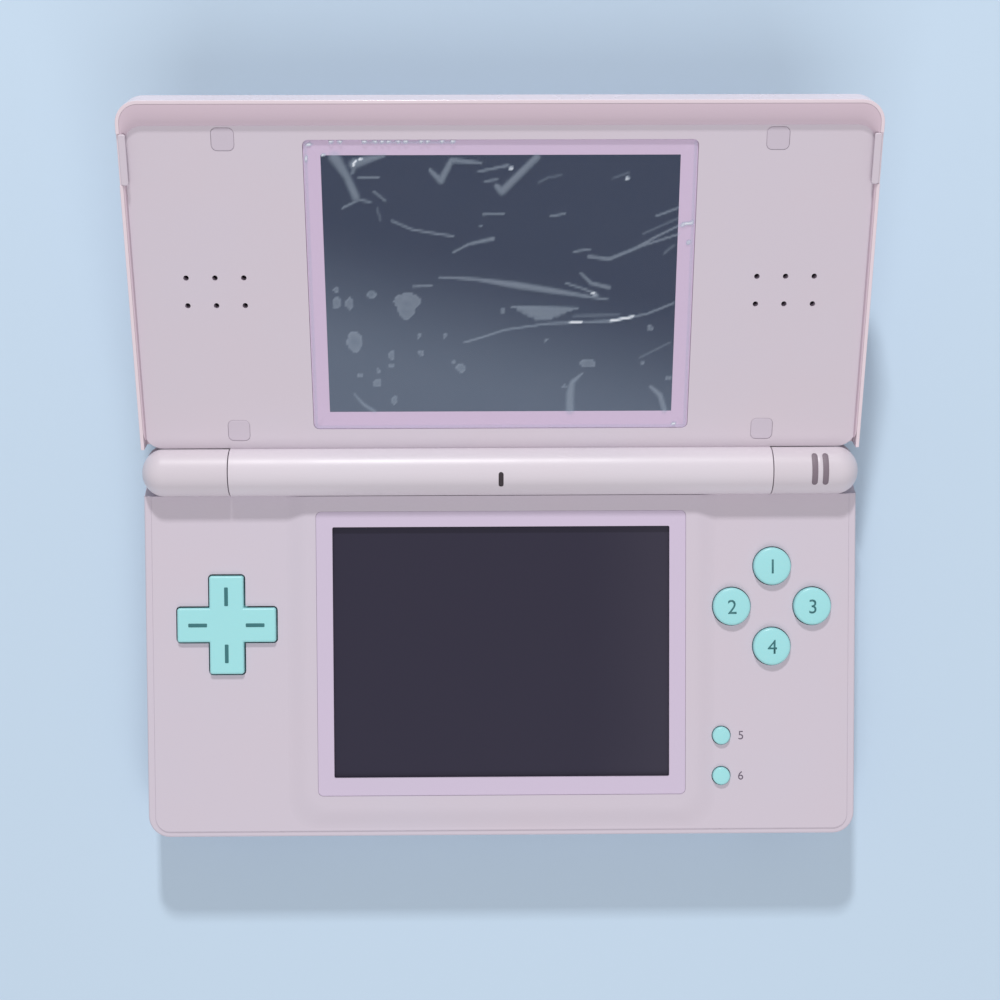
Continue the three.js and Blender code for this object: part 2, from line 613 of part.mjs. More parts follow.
function makeDirectionPad() {
  const flangeTop = deckUnderside - padSeat.flangeRoom;
  const flangeBottom = flangeTop - padSeat.flangeThickness;
  const top = deck.top + pad.proud;
  const cap = joined(
    roundedSlab(crossShape(padX, pad.y, pad.span, pad.arm, pad.corner), flangeBottom, top, 0, pad.edge),
    drumZ(pad.flange, padX, pad.y, flangeBottom, flangeTop),
  );
  const marks = [];
  for (const side of [-1, 1]) {
    const middle = side * padMark.offset;
    const l = padMark.length / 2;
    const w = padMark.width / 2;
    const floor = top - padMark.depth;
    marks.push(block(padX + middle - l, padX + middle + l, pad.y - w, pad.y + w, floor, top + over));
    marks.push(block(padX - w, padX + w, pad.y + middle - l, pad.y + middle + l, floor, top + over));
  }
  place(baseGroup, 'dpad_cap', 'mint', cut(cap, ...marks));
  const pivotTop = flangeBottom - padSeat.pivotRoom;
  place(baseGroup, 'dpad_pivot_pad', 'rubber',
    drumZ(padSeat.pivotRadius, padX, pad.y, pivotTop - padSeat.pivotThickness, pivotTop));
}

function makeButtons() {
  for (const hole of buttonHoles) {
    const flangeTop = deckUnderside - gap;
    const top = deck.top + hole.proud;
    const profile = [[0, flangeTop - buttonFlange], [hole.flange, flangeTop - buttonFlange],
      [hole.flange, flangeTop], [hole.radius, flangeTop], [hole.radius, top - 2 * hole.crown]];
    for (let k = 1; k <= roundSteps; k += 1) {
      const turn = (k / roundSteps) * buttonEdge.turn;
      profile.push([
        hole.radius - 2 * hole.crown * (1 - Math.cos(turn)),
        top - 2 * hole.crown * (1 - buttonEdge.riseShare * Math.sin(turn)),
      ]);
    }
    profile.push([0, top]);
    place(baseGroup, hole.name, 'mint', turned(profile, hole.x, hole.y));
  }
}

function makeSockets() {
  const cardOuter = card.halfWidth + card.rail;
  const cardRear = rearReach - card.setBack;
  const cavityTop = floorTop + card.height;
  const housing = block(-cardOuter, cardOuter, cardFront, cardRear, floorTop + gap, cavityTop + card.roof);
  const cardWay = block(-card.halfWidth, card.halfWidth, cardFront + card.stop, cardRear + over,
    floorTop - over, cavityTop);
  place(baseGroup, 'card_slot', 'dark', cut(housing, cardWay));

  const portBottom = floorTop + gap;
  const portMiddle = portBottom + charge.height / 2 - gap / 2;
  const port = block(charge.x - charge.halfWidth, charge.x + charge.halfWidth,
    -charge.front, rearReach - card.setBack, portBottom, portBottom + charge.height - gap);
  const mouth = block(charge.x - charge.mouthHalfWidth, charge.x + charge.mouthHalfWidth,
    rearReach - charge.mouthDepth, rearReach + over,
    portMiddle - charge.mouthHeight / 2, portMiddle + charge.mouthHeight / 2);
  place(baseGroup, 'charge_port', 'dark', cut(port, mouth));

  const jackBody = joined(
    drumY(jack.bodyRadius, jackX, jack.height, deck.wall + gap - frontReach, jackRear, drumSides / 2),
    drumY(jack.collarRadius, jackX, jack.height, jack.sunk - frontReach, jackRear, drumSides / 2),
  );
  const jackBore = drumY(jack.bore, jackX, jack.height, -frontReach - over, jack.boreDepth - frontReach,
    drumSides / 2);
  place(baseGroup, 'headphone_jack', 'dark', cut(jackBody, jackBore));
}

function makeCartridgeSlot() {
  const sleeve = gap + cartridge.shell;
  const sleeveFront = deck.wall + gap - frontReach;
  const housing = block(-cartridge.plugHalfWidth - sleeve, cartridge.plugHalfWidth + sleeve, sleeveFront,
    slotRear, cartridge.plugBottom - sleeve, cartridge.plugTop + sleeve);
  const way = block(-cartridge.plugHalfWidth - gap, cartridge.plugHalfWidth + gap, sleeveFront - over,
    slotRear - cartridge.shell, cartridge.plugBottom - gap, cartridge.plugTop + gap);
  place(baseGroup, 'cartridge_slot', 'dark', cut(housing, way));
  const faceRear = cartridge.faceThickness - frontReach;
  const faceplate = new THREE.ExtrudeGeometry(rectShape(-cartridge.halfWidth, cartridge.halfWidth,
    cartridge.faceBottom, cartridge.faceTop, cartridge.faceCorner), {
    depth: cartridge.faceThickness, bevelEnabled: false, curveSegments: smallSteps,
  });
  faceplate.rotateX(Math.PI / 2).translate(0, faceRear, 0);
  const plug = block(-cartridge.plugHalfWidth, cartridge.plugHalfWidth,
    faceRear - cartridge.faceThickness / 2, cartridge.plugDepth + faceRear,
    cartridge.plugBottom, cartridge.plugTop);
  const nail = block(-cartridge.nailWidth / 2, cartridge.nailWidth / 2,
    -frontReach - over, cartridge.nailDepth - frontReach,
    cartridge.faceBottom - over, cartridge.faceBottom + cartridge.nailDepth);
  place(baseGroup, 'slot_cover', 'shell', cut(joined(solidFrom(faceplate), plug), nail));
}

function makeShoulderButtons() {
  for (const side of [-1, 1]) {
    const inner = side * shoulderInner;
    const outer = side * (halfWidth + over);
    const window = block(Math.min(inner, outer), Math.max(inner, outer), shoulder.front, rearReach + over,
      shoulder.bottom, shoulder.top);
    const x = side * (halfWidth - shoulder.pinInset);
    const bore = drumZ(shoulder.pinRadius + gap, x, shoulder.pinY,
      shoulder.bottom - over, shoulder.top + over, drumSides / 2);
    const name = side < 0 ? 'left' : 'right';
    const whole = slab(baseOutline(0), shoulder.bottom, shoulder.top).intersect(window);
    place(baseGroup, `shoulder_button_${name}`, 'shell', cut(whole, bore));
    place(baseGroup, `shoulder_pin_${name}`, 'metal',
      drumZ(shoulder.pinRadius, x, shoulder.pinY, floorTop + gap, deck.tunnelTop - gap, drumSides / 2));
  }
}

function makeStylus() {
  const tail = halfWidth;
  const point = batteryRight + stylus.tipClearance;
  const profile = [
    [0, point], [stylus.tipRadius, point + stylus.tipRadius / 2], [stylus.radius, point + stylus.tip],
    [stylus.radius, tail - stylus.nail / 2], [stylus.radius - stylus.nail / 2, tail], [0, tail],
  ];
  const points = profile.map(([radius, x]) => new THREE.Vector2(radius, x));
  const rod = new THREE.LatheGeometry(points, drumSides / 2).rotateZ(-Math.PI / 2);
  rod.translate(0, stylus.y, stylus.height);
  const nail = block(tail - stylus.nailLength, tail - stylus.nailLength / 2,
    stylus.y - stylus.radius - over, stylus.y - stylus.radius + stylus.nail / 2,
    stylus.height - over, stylus.height + over);
  place(baseGroup, 'stylus', 'shell', cut(solidFrom(rod), nail));
}

function makeHingeEnds() {
  const seam = hingeSeam + gap / 2;
  for (const side of [-1, 1]) {
    const profile = [[0, seam], [hinge.radius, seam]];
    const arcCount = 2 * roundSteps;
    for (let k = 0; k <= arcCount; k += 1) {
      const turn = (k / arcCount) * (Math.PI / 2);
      const radius = k === arcCount ? 0 : hinge.radius * Math.cos(turn);
      profile.push([radius, halfWidth - hinge.dome + hinge.dome * Math.sin(turn)]);
    }
    const points = profile.map(([radius, x]) => new THREE.Vector2(radius, x));
    const capForm = new THREE.LatheGeometry(points, drumSides + arcSteps).rotateZ(-side * Math.PI / 2);
    capForm.translate(0, 0, hinge.height);
    const pinFar = hingeSeam + hinge.pinInCap;
    const boreFar = pinFar + gap;
    const boreNear = hingeSeam - over;
    const bore = drumX(hinge.pinRadius + gap, Math.min(side * boreNear, side * boreFar),
      Math.max(side * boreNear, side * boreFar), 0, hinge.height, drumSides / 2);
    const cuts = [bore];
    if (side > 0) {
      cuts.push(...lightSlots(gap));
    }
    const name = side < 0 ? 'left' : 'right';
    place(baseGroup, `hinge_cap_${name}`, 'shell', cut(solidFrom(capForm), ...cuts));
    const pinNear = hingeSeam - hinge.pinInBarrel;
    const [pinStart, pinEnd] = side < 0 ? [-pinFar, -pinNear] : [pinNear, pinFar];
    place(baseGroup, `hinge_pin_${name}`, 'metal',
      drumX(hinge.pinRadius, pinStart, pinEnd, 0, hinge.height, drumSides / 2));
  }
}

// The room for the two light bars over the right cap, or, with no margin, the bars before they are rounded.
function lightSlots(margin) {
  const bottom = hinge.height + hinge.radius - lightGuide.depth - margin;
  return [lightGuide.powerInset, lightGuide.chargeInset].map((inset) => block(
    halfWidth - inset - lightGuide.width / 2 - margin, halfWidth - inset + lightGuide.width / 2 + margin,
    lightGuide.front - margin, lightGuide.rear + margin, bottom, hinge.height + hinge.radius + over,
  ));
}

function makeLightGuides() {
  const skin = drumX(hinge.radius - lightGuide.sunk, 0, halfWidth, 0, hinge.height, 2 * drumSides);
  const [powerBar, chargeBar] = lightSlots(0);
  place(baseGroup, 'light_guide_power', 'grey', powerBar.intersect(skin));
  place(baseGroup, 'light_guide_charge', 'grey', chargeBar.intersect(skin));
}

// The lid's outline, drawn in from its outer edge by inset; the hinge side stays or moves on by start.
function lidOutline(inset, start = lid.start) {
  return rectShape(inset - halfWidth, halfWidth - inset, start, lidReach - inset,
    Math.max(cornerRadius - inset, cornerRadius / 4), lid.startCorner);
}

const faceBottom = -lid.face - lid.plate; // underside of the inner panel
const lensTop = -lid.face - upperScreen.lensDrop;
const lensBottom = lensTop - upperScreen.lensThickness;
function lensShape(margin) {
  return rectShape(-lens.halfWidth - margin, lens.halfWidth + margin, lens.near - margin, lens.far + margin,
    upperScreen.lensCorner);
}

function lugPockets() {
  return [-1, 1].map((side) => {
    const inner = side * (lugBox.inner - gap);
    const outer = side * (halfWidth + over);
    return block(Math.min(inner, outer), Math.max(inner, outer), lugBox.start - gap, lugBox.end + gap,
      -lug.seat - gap, lid.rim + over);
  });
}

// The lid's side view at its hinge end, rounded where the back meets the end wall.
function nearEdgeShape() {
  const shape = new THREE.Shape();
  shape.moveTo(lid.start, lid.rim + over);
  shape.lineTo(lid.start, lid.edge - lid.back);
  shape.absarc(lid.start + lid.edge, lid.edge - lid.back, lid.edge, Math.PI, 1.5 * Math.PI);
  shape.lineTo(lidReach + over, -lid.back);
  shape.lineTo(lidReach + over, lid.rim + over);
  return shape;
}

function makeLidBack() {
  const seat = faceBottom - gap;
  const bridgeBottom = -lid.face - lid.bridge - gap;
  const farEdges = roundedSlab(rectShape(-halfWidth, halfWidth, -lidReach, lidReach, cornerRadius),
    -lid.back, lid.rim, lid.edge, 0);
  const whole = farEdges.intersect(slabX(nearEdgeShape(), -halfWidth, halfWidth));
  const inside = roundedSlab(lidOutline(lid.wall, lid.start + lid.wall),
    lid.wall - lid.back, lid.rim + over, lid.wall, 0);
  place(lidGroup, 'lid_back', 'rosy', cut(whole, inside,
    slab(lidOutline(lid.rimWall, -over), seat, lid.rim + over),
    block(-hingeSeam - gap / 2, hingeSeam + gap / 2, 0, lid.start + lid.wall + over,
      bridgeBottom, lid.rim + over),
    ...lugPockets()));
}

function makeLidFront() {
  const inset = lid.rimWall + gap;
  const panel = slab(lidOutline(inset), faceBottom, lid.lip);
  const hollowInset = inset + lid.lipWall;
  const hollow = roundedSlab(
    rectShape(hollowInset - halfWidth, halfWidth - hollowInset, -lidReach, lidReach - hollowInset,
      cornerRadius - hollowInset),
    -lid.face, lid.rim + 2 * over, lid.face + lid.lip, 0, lid.cove,
  );
  const barrelEnd = hingeSeam - gap / 2;
  const barrel = joined(
    drumX(hinge.radius, -barrelEnd, barrelEnd, 0, 0, drumSides + arcSteps),
    block(-barrelEnd, barrelEnd, lid.start / 3, lid.start + lid.wall, -lid.face - lid.bridge, -lid.face),
  );
  const windowLap = upperScreen.windowLap;
  const windowCut = block(-screen.width / 2 - windowLap, screen.width / 2 + windowLap,
    upperScreenY - screen.depth / 2 - windowLap, upperScreenY + screen.depth / 2 + windowLap,
    faceBottom - over, lid.rim + over);
  const soundHoles = [];
  for (const side of [-1, 1]) {
    for (let row = 0; row < speaker.rows; row += 1) {
      for (let column = 0; column < speaker.columns; column += 1) {
        const x = side * speakerX + (column - (speaker.columns - 1) / 2) * speaker.pitch;
        const y = speaker.y + (row - (speaker.rows - 1) / 2) * speaker.pitch;
        soundHoles.push(drumZ(speaker.hole, x, y, faceBottom - over, lid.rim + over, drumSides / 3));
      }
    }
  }
  const micSlit = block(-mic.halfWidth - gap, mic.halfWidth + gap,
    -mic.halfLength - gap, mic.halfLength + gap, 0, hinge.radius + over);
  const pinBore = drumX(hinge.pinRadius + gap, -hingeSeam - over, hingeSeam + over, 0, 0, drumSides / 2);
  const bumperSeat = bumper.proud - lid.face - bumper.thickness - gap;
  const bumperSeats = bumperPlaces.map(({ x, y }) => slab(
    bumperShape(x, y, gap), bumperSeat, lid.rim + over, smallSteps,
  ));
  place(lidGroup, 'lid_front', 'shell', cut(joined(cut(panel, hollow), barrel),
    slab(lensShape(gap), lensBottom - gap, lid.rim + over, smallSteps), windowCut,
    ...soundHoles, micSlit, pinBore, ...bumperSeats, ...lugPockets()));
}

const bumperPlaces = [];
for (const side of [-1, 1]) {
  for (const end of ['far', 'near']) {
    bumperPlaces.push({
      name: `bumper_${end}_${side < 0 ? 'left' : 'right'}`,
      x: side * bumperX, y: end === 'far' ? lidReach - bumper.farInset : bumper.nearY,
    });
  }
}

function bumperShape(x, y, margin) {
  const half = bumper.side / 2 + margin;
  return rectShape(x - half, x + half, y - half, y + half, bumper.corner + margin);
}

function makeUpperScreen() {
  place(lidGroup, 'upper_lens', 'lens', slab(lensShape(0), lensBottom, lensTop, smallSteps));
  place(lidGroup, 'screen_film', 'film', slab(lensShape(-upperScreen.filmInset), lensTop + gap,
    lensTop + gap + upperScreen.filmThickness, smallSteps));
  const lap = upperScreen.lcdLap;
  const lcdTop = faceBottom - gap;
  place(lidGroup, 'upper_lcd', 'dark', block(-screen.width / 2 - lap, screen.width / 2 + lap,
    upperScreenY - screen.depth / 2 - lap, upperScreenY + screen.depth / 2 + lap,
    lcdTop - upperScreen.lcdThickness, lcdTop));
}

function makeLidFittings() {
  for (const { name, x, y } of bumperPlaces) {
    const top = bumper.proud - lid.face;
    place(lidGroup, name, 'rubber', slab(bumperShape(x, y, 0), top - bumper.thickness, top, smallSteps));
  }
  for (const side of [-1, 1]) {
    const name = side < 0 ? 'left' : 'right';
    const speakerTop = faceBottom - gap;
    place(lidGroup, `speaker_${name}`, 'dark',
      drumZ(speaker.radius, side * speakerX, speaker.y, speakerTop - speaker.thickness, speakerTop));
    const x0 = Math.min(side * lugBox.inner, side * lugBox.outer);
    const x1 = Math.max(side * lugBox.inner, side * lugBox.outer);
    place(lidGroup, `guide_lug_${name}`, 'shell',
      slab(rectShape(x0, x1, lugBox.start, lugBox.end, lug.corner), -lug.seat, lug.top, smallSteps));
  }
  const micTop = hinge.radius - mic.sunk;
  place(lidGroup, 'microphone', 'dark',
    block(-mic.halfWidth, mic.halfWidth, -mic.halfLength, mic.halfLength, micTop - mic.depth, micTop));
}

makeDeck();
makeTub();
makeUnderside();
makeBoards();
makeLowerScreen();
makeDirectionPad();
makeButtons();
makeSockets();
makeCartridgeSlot();
makeShoulderButtons();
makeSlider('power_slider', power, 'side');
makeSlider('volume_slider', volumeRun, 'front');
makeStylus();
makeHingeEnds();
makeLightGuides();
makeLidBack();
makeLidFront();
makeUpperScreen();
makeLidFittings();

export default wholeConsole;
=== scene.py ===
# A folding handheld game console, open and lying on its feet.
import json
import math
import bpy
import bmesh
from mathutils import Euler, Matrix, Vector, kdtree


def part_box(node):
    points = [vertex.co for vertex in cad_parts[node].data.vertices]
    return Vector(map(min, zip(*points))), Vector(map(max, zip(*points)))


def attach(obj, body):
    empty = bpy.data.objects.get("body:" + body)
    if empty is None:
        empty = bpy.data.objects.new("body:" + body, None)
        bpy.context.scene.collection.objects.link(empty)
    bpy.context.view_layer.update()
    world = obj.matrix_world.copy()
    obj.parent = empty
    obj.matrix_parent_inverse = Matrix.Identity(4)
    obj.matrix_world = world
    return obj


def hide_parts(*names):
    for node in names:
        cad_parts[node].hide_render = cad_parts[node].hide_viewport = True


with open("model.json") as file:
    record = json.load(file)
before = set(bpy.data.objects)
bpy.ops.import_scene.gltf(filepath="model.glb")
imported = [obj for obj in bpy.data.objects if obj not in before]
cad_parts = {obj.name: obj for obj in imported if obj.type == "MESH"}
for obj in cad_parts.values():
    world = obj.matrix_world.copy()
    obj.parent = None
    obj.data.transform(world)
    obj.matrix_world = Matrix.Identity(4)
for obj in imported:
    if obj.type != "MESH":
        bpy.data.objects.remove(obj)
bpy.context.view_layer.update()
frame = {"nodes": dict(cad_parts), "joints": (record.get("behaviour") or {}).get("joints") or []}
cadNodes = frame["nodes"]
mm = 0.001

# Pieces are drawn in millimetres. On the base, Y is measured from the hinge axis and Z from the table.
# The lid is drawn as if it were folded out flat, with Z as the height over the hinge axis.
hingeJoint = next(joint for joint in frame["joints"] if joint["name"] == "lid_hinge")
hingeAt = Vector(hingeJoint["pos_m"])
lidTilt = math.radians(180 - hingeJoint["range_deg"][1])
onBase = Matrix.Translation((0, hingeAt.y, 0)) @ Matrix.Scale(mm, 4)
onLid = Matrix.Translation(hingeAt) @ Matrix.Rotation(lidTilt, 4, "X") @ Matrix.Scale(mm, 4)


# Shapes

over = 3  # how far a cutter reaches past what it cuts
sides = {"barrel": 96, "plain": 64, "turned": 72, "smallButton": 48, "bore": 40, "smallHole": 24}
# Tolerances for welding points and for telling which faces and edges are level, flat or facing up.
fine = {"weld": 0.002, "cadWeld": 2e-6, "pointWeld": 1e-5, "level": 1e-4, "flatRadians": 0.3,
        "flatDegrees": 0.6, "facingUp": 0.99, "paneWeld": 0.01}


def outlinePlate(bm, x0, x1, y0, y1, z, corner, steps=8):
    made = bmesh.ops.create_grid(bm, x_segments=1, y_segments=1, size=0.5)
    verts = made["verts"]
    bmesh.ops.scale(bm, vec=(x1 - x0, y1 - y0, 1), verts=verts)
    bmesh.ops.translate(bm, vec=((x0 + x1) / 2, (y0 + y1) / 2, z), verts=verts)
    if corner > 0:
        bmesh.ops.bevel(bm, geom=verts, offset=corner, offset_type="OFFSET", segments=steps,
                        profile=0.5, affect="VERTICES", material=-1, clamp_overlap=True)


def raisePlate(bm, height):
    made = bmesh.ops.extrude_face_region(bm, geom=bm.faces[:], use_keep_orig=True)
    raised = [item for item in made["geom"] if isinstance(item, bmesh.types.BMVert)]
    bmesh.ops.translate(bm, vec=(0, 0, height), verts=raised)
    bmesh.ops.recalc_face_normals(bm, faces=bm.faces[:])


def roundRim(bm, z, radius, steps=5):
    level = [e for e in bm.edges if all(abs(v.co.z - z) < fine["level"] for v in e.verts)]
    edges = [e for e in level if not flatEdge(e)]
    bmesh.ops.bevel(bm, geom=edges, offset=radius, offset_type="OFFSET", segments=steps,
                    profile=0.5, affect="EDGES", material=-1, clamp_overlap=True)


def flatEdge(edge):
    return len(edge.link_faces) == 2 and edge.calc_face_angle(0) < fine["flatRadians"]


def slab(x0, x1, y0, y1, low, high, corner=0, topRim=0, bottomRim=0, steps=8, rimSteps=5):
    bm = bmesh.new()
    outlinePlate(bm, x0, x1, y0, y1, low, corner, steps)
    raisePlate(bm, high - low)
    if topRim > 0:
        roundRim(bm, high, topRim, rimSteps)
    if bottomRim > 0:
        roundRim(bm, low, bottomRim, rimSteps)
    return bm


# A slab that reaches equally far to the left and to the right.
def midSlab(half, *rest, **finer):
    return slab(-half, half, *rest, **finer)


# A round-cornered plate that rises through stations of (half width, front, rear, height).
def stacked(stations, corner, cornerSteps=10):
    half, front, rear, height = stations[0]
    bm = bmesh.new()
    outlinePlate(bm, -half, half, front, rear, height, corner, cornerSteps)
    top = bm.faces[:]
    for count, (newHalf, newFront, newRear, newHeight) in enumerate(stations[1:]):
        made = bmesh.ops.extrude_face_region(bm, geom=top, use_keep_orig=True)
        if count:
            bmesh.ops.delete(bm, geom=top, context="FACES_ONLY")
        verts = [item for item in made["geom"] if isinstance(item, bmesh.types.BMVert)]
        top = [item for item in made["geom"] if isinstance(item, bmesh.types.BMFace)]
        stretch = (newRear - newFront) / (rear - front)
        bmesh.ops.scale(bm, vec=(newHalf / half, stretch, 1), verts=verts)
        bmesh.ops.translate(bm, vec=(0, newFront - front * stretch, newHeight - height), verts=verts)
        half, front, rear, height = newHalf, newFront, newRear, newHeight
    bmesh.ops.recalc_face_normals(bm, faces=bm.faces[:])
    return bm


# A round bar from low to high along one axis; x and y place it across that axis.
def drum(radius, low, high, x=0, y=0, kind="plain", along="Z"):
    bm = bmesh.new()
    bmesh.ops.create_cone(bm, cap_ends=True, segments=sides[kind], radius1=radius, radius2=radius,
                          depth=high - low)
    bmesh.ops.translate(bm, vec=(0, 0, (low + high) / 2), verts=bm.verts[:])
    if along == "X":
        bmesh.ops.rotate(bm, matrix=Matrix.Rotation(math.pi / 2, 3, "Y"), verts=bm.verts[:])
    if along == "Y":
        bmesh.ops.rotate(bm, matrix=Matrix.Rotation(-math.pi / 2, 3, "X"), verts=bm.verts[:])
    across = {"X": (0, x, y), "Y": (x, 0, y), "Z": (x, y, 0)}
    bmesh.ops.translate(bm, vec=across[along], verts=bm.verts[:])
    return bm


# A profile of (radius, height) points from the axis outwards and back, spun into a closed turned piece.
def turned(profile, x=0, y=0, kind="turned"):
    bm = bmesh.new()
    verts = [bm.verts.new((radius, 0, height)) for radius, height in profile]
    edges = [bm.edges.new(pair) for pair in zip(verts, verts[1:])]
    bmesh.ops.spin(bm, geom=verts + edges, cent=(0, 0, 0), axis=(0, 0, 1), angle=2 * math.pi,
                   steps=sides[kind], use_merge=True)
    bmesh.ops.remove_doubles(bm, verts=bm.verts[:], dist=fine["pointWeld"])
    bmesh.ops.recalc_face_normals(bm, faces=bm.faces[:])
    bmesh.ops.translate(bm, vec=(x, y, 0), verts=bm.verts[:])
    return bm


def arcPoints(radius, height, across, up, start, end, steps):
    points = []
    for step in range(steps + 1):
        turn = math.radians(start + (end - start) * step / steps)
        points.append((radius + across * math.cos(turn), height + up * math.sin(turn)))
    return points


def toObject(bm, name="cutter"):
    mesh = bpy.data.meshes.new(name)
    bm.to_mesh(mesh)
    bm.free()
    made = bpy.data.objects.new(name, mesh)
    bpy.context.scene.collection.objects.link(made)
    return made


# Joins or cuts shapes one after another; the shapes handed in are used up.
def combine(bm, others, operation="DIFFERENCE"):
    body = toObject(bm, "body")
    tools = [toObject(other) for other in others]
    for tool in tools:
        modifier = body.modifiers.new("cut", "BOOLEAN")
        modifier.operation = operation
        modifier.solver = "EXACT"
        modifier.object = tool
    depsgraph = bpy.context.evaluated_depsgraph_get()
    mesh = bpy.data.meshes.new_from_object(body.evaluated_get(depsgraph))
    result = bmesh.new()
    result.from_mesh(mesh)
    bmesh.ops.remove_doubles(result, verts=result.verts[:], dist=fine["weld"])
    bmesh.ops.dissolve_degenerate(result, dist=fine["weld"], edges=result.edges[:])
    for used in [body, *tools]:
        bpy.data.meshes.remove(used.data)
    bpy.data.meshes.remove(mesh)
    return result


# Puts a drawn shape in its place, softens its edges and ties it to its body.
def piece(name, bm, place, body, material, replaces=(), soften=0.1, softenSteps=2, softenAngle=32):
    bmesh.ops.transform(bm, matrix=place, verts=bm.verts[:])
    for face in bm.faces:
        face.smooth = True
    made = toObject(bm, name)
    return dress(made, body, material, replaces, soften, softenSteps, softenAngle)


def dress(made, body, material, replaces, soften, softenSteps, softenAngle):
    materials = material if isinstance(material, (list, tuple)) else [material]
    for each in materials:
        made.data.materials.append(each)
    if soften > 0:
        bevel = made.modifiers.new("softEdges", "BEVEL")
        bevel.width = soften * mm
        bevel.segments = softenSteps
        bevel.limit_method = "ANGLE"
        bevel.angle_limit = math.radians(softenAngle)
        bevel.use_clamp_overlap = True
        bevel.miter_outer = "MITER_ARC"
    normals = made.modifiers.new("weightedNormals", "WEIGHTED_NORMAL")
    normals.keep_sharp = True
    normals.weight = 60
    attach(made, body)
    if replaces:
        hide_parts(*replaces)
    return made


# A clean copy of a CAD piece, its flat faces merged and its sharp edges softened.
def softCopy(name, node, body, material, soften=0.15, softenSteps=2, softenAngle=32):
    bm = bmesh.new()
    bm.from_mesh(cadNodes[node].data)
    bmesh.ops.remove_doubles(bm, verts=bm.verts[:], dist=fine["cadWeld"])
    bmesh.ops.dissolve_degenerate(bm, dist=fine["cadWeld"], edges=bm.edges[:])
    bmesh.ops.dissolve_limit(bm, angle_limit=math.radians(fine["flatDegrees"]), verts=bm.verts[:],
                             edges=bm.edges[:], use_dissolve_boundaries=False, delimit=set())
    for face in bm.faces:
        face.smooth = True
    return dress(toObject(bm, name), body, material, (node,), soften, softenSteps, softenAngle)


# Materials. What a look doesn't give comes from plainLook.

plainLook = {"metallic": 0.0, "ior": 1.46, "coat": 0.0, "coatRoughness": 0.1, "glow": 0.0,
             "driftScale": 35.0, "driftAmount": 0.5, "grain": 0.06, "grainScale": 3500.0,
             "grainDepth": 0.00004, "smudgeScale": 70.0}
glowReach = {"radius": (0.002, 0.0014, 0.0012), "scale": 0.6}
tintSpread = (0.32, 0.68)
smudgeSpread = (0.3, 0.7)
mixAt = {"first": 6, "second": 7, "result": 2}  # the colour sockets of a Mix node


def newGroup(name, inputs, outputs):
    group = bpy.data.node_groups.new(name, "ShaderNodeTree")
    for label, kind, value in inputs:
        socket = group.interface.new_socket(name=label, in_out="INPUT", socket_type=kind)
        if value is not None:
            socket.default_value = value
    for label, kind in outputs:
        group.interface.new_socket(name=label, in_out="OUTPUT", socket_type=kind)
    return group, group.nodes.new("NodeGroupInput"), group.nodes.new("NodeGroupOutput")


def addNode(tree, kind, settings=None, **values):
    node = tree.nodes.new(kind)
    for key, value in (settings or {}).items():
        setattr(node, key, value)
    for key, value in values.items():
        node.inputs[key].default_value = value
    return node


def spreadNode(tree, low, high):
    spread = tree.nodes.new("ShaderNodeMapRange")
    spread.inputs["From Min"].default_value = low
    spread.inputs["From Max"].default_value = high
    return spread


def mixNode(tree, first=(0, 0, 0), second=(0, 0, 0)):
    mix = addNode(tree, "ShaderNodeMix", {"data_type": "RGBA"})
    mix.inputs[mixAt["first"]].default_value = (*first, 1)
    mix.inputs[mixAt["second"]].default_value = (*second, 1)
    return mix


def makeTintDrift():
    group, source, result = newGroup("tintDrift", [
        ("Vector", "NodeSocketVector", None), ("Main", "NodeSocketColor", (0.8, 0.8, 0.8, 1)),
        ("Drift", "NodeSocketColor", (0.7, 0.7, 0.7, 1)), ("Scale", "NodeSocketFloat", 40.0),
        ("Amount", "NodeSocketFloat", 0.3)], [("Color", "NodeSocketColor")])
    cloud = addNode(group, "ShaderNodeTexNoise", Detail=3.0, Roughness=0.55)
    spread = spreadNode(group, *tintSpread)
    mix = mixNode(group)
    link = group.links.new
    link(source.outputs["Vector"], cloud.inputs["Vector"])
    link(source.outputs["Scale"], cloud.inputs["Scale"])
    link(cloud.outputs["Fac"], spread.inputs["Value"])
    link(source.outputs["Amount"], spread.inputs["To Max"])
    link(spread.outputs["Result"], mix.inputs["Factor"])
    link(source.outputs["Main"], mix.inputs[mixAt["first"]])
    link(source.outputs["Drift"], mix.inputs[mixAt["second"]])
    link(mix.outputs[mixAt["result"]], result.inputs["Color"])
    return group


def makeMouldGrain():
    group, source, result = newGroup("mouldGrain", [
        ("Vector", "NodeSocketVector", None), ("Scale", "NodeSocketFloat", 4000.0),
        ("Smooth", "NodeSocketFloat", 0.35), ("Rough", "NodeSocketFloat", 0.5),
        ("Smudge Scale", "NodeSocketFloat", 60.0)],
        [("Height", "NodeSocketFloat"), ("Roughness", "NodeSocketFloat")])
    grain = addNode(group, "ShaderNodeTexNoise", Detail=4.0, Roughness=0.6)
    smudge = addNode(group, "ShaderNodeTexNoise", Detail=2.0, Roughness=0.5)
    spread = spreadNode(group, *smudgeSpread)
    link = group.links.new
    link(source.outputs["Vector"], grain.inputs["Vector"])
    link(source.outputs["Scale"], grain.inputs["Scale"])
    link(source.outputs["Vector"], smudge.inputs["Vector"])
    link(source.outputs["Smudge Scale"], smudge.inputs["Scale"])
    link(smudge.outputs["Fac"], spread.inputs["Value"])
    link(source.outputs["Smooth"], spread.inputs["To Min"])
    link(source.outputs["Rough"], spread.inputs["To Max"])
    link(grain.outputs["Fac"], result.inputs["Height"])
    link(spread.outputs["Result"], result.inputs["Roughness"])
    return group


tintDrift = makeTintDrift()
mouldGrain = makeMouldGrain()


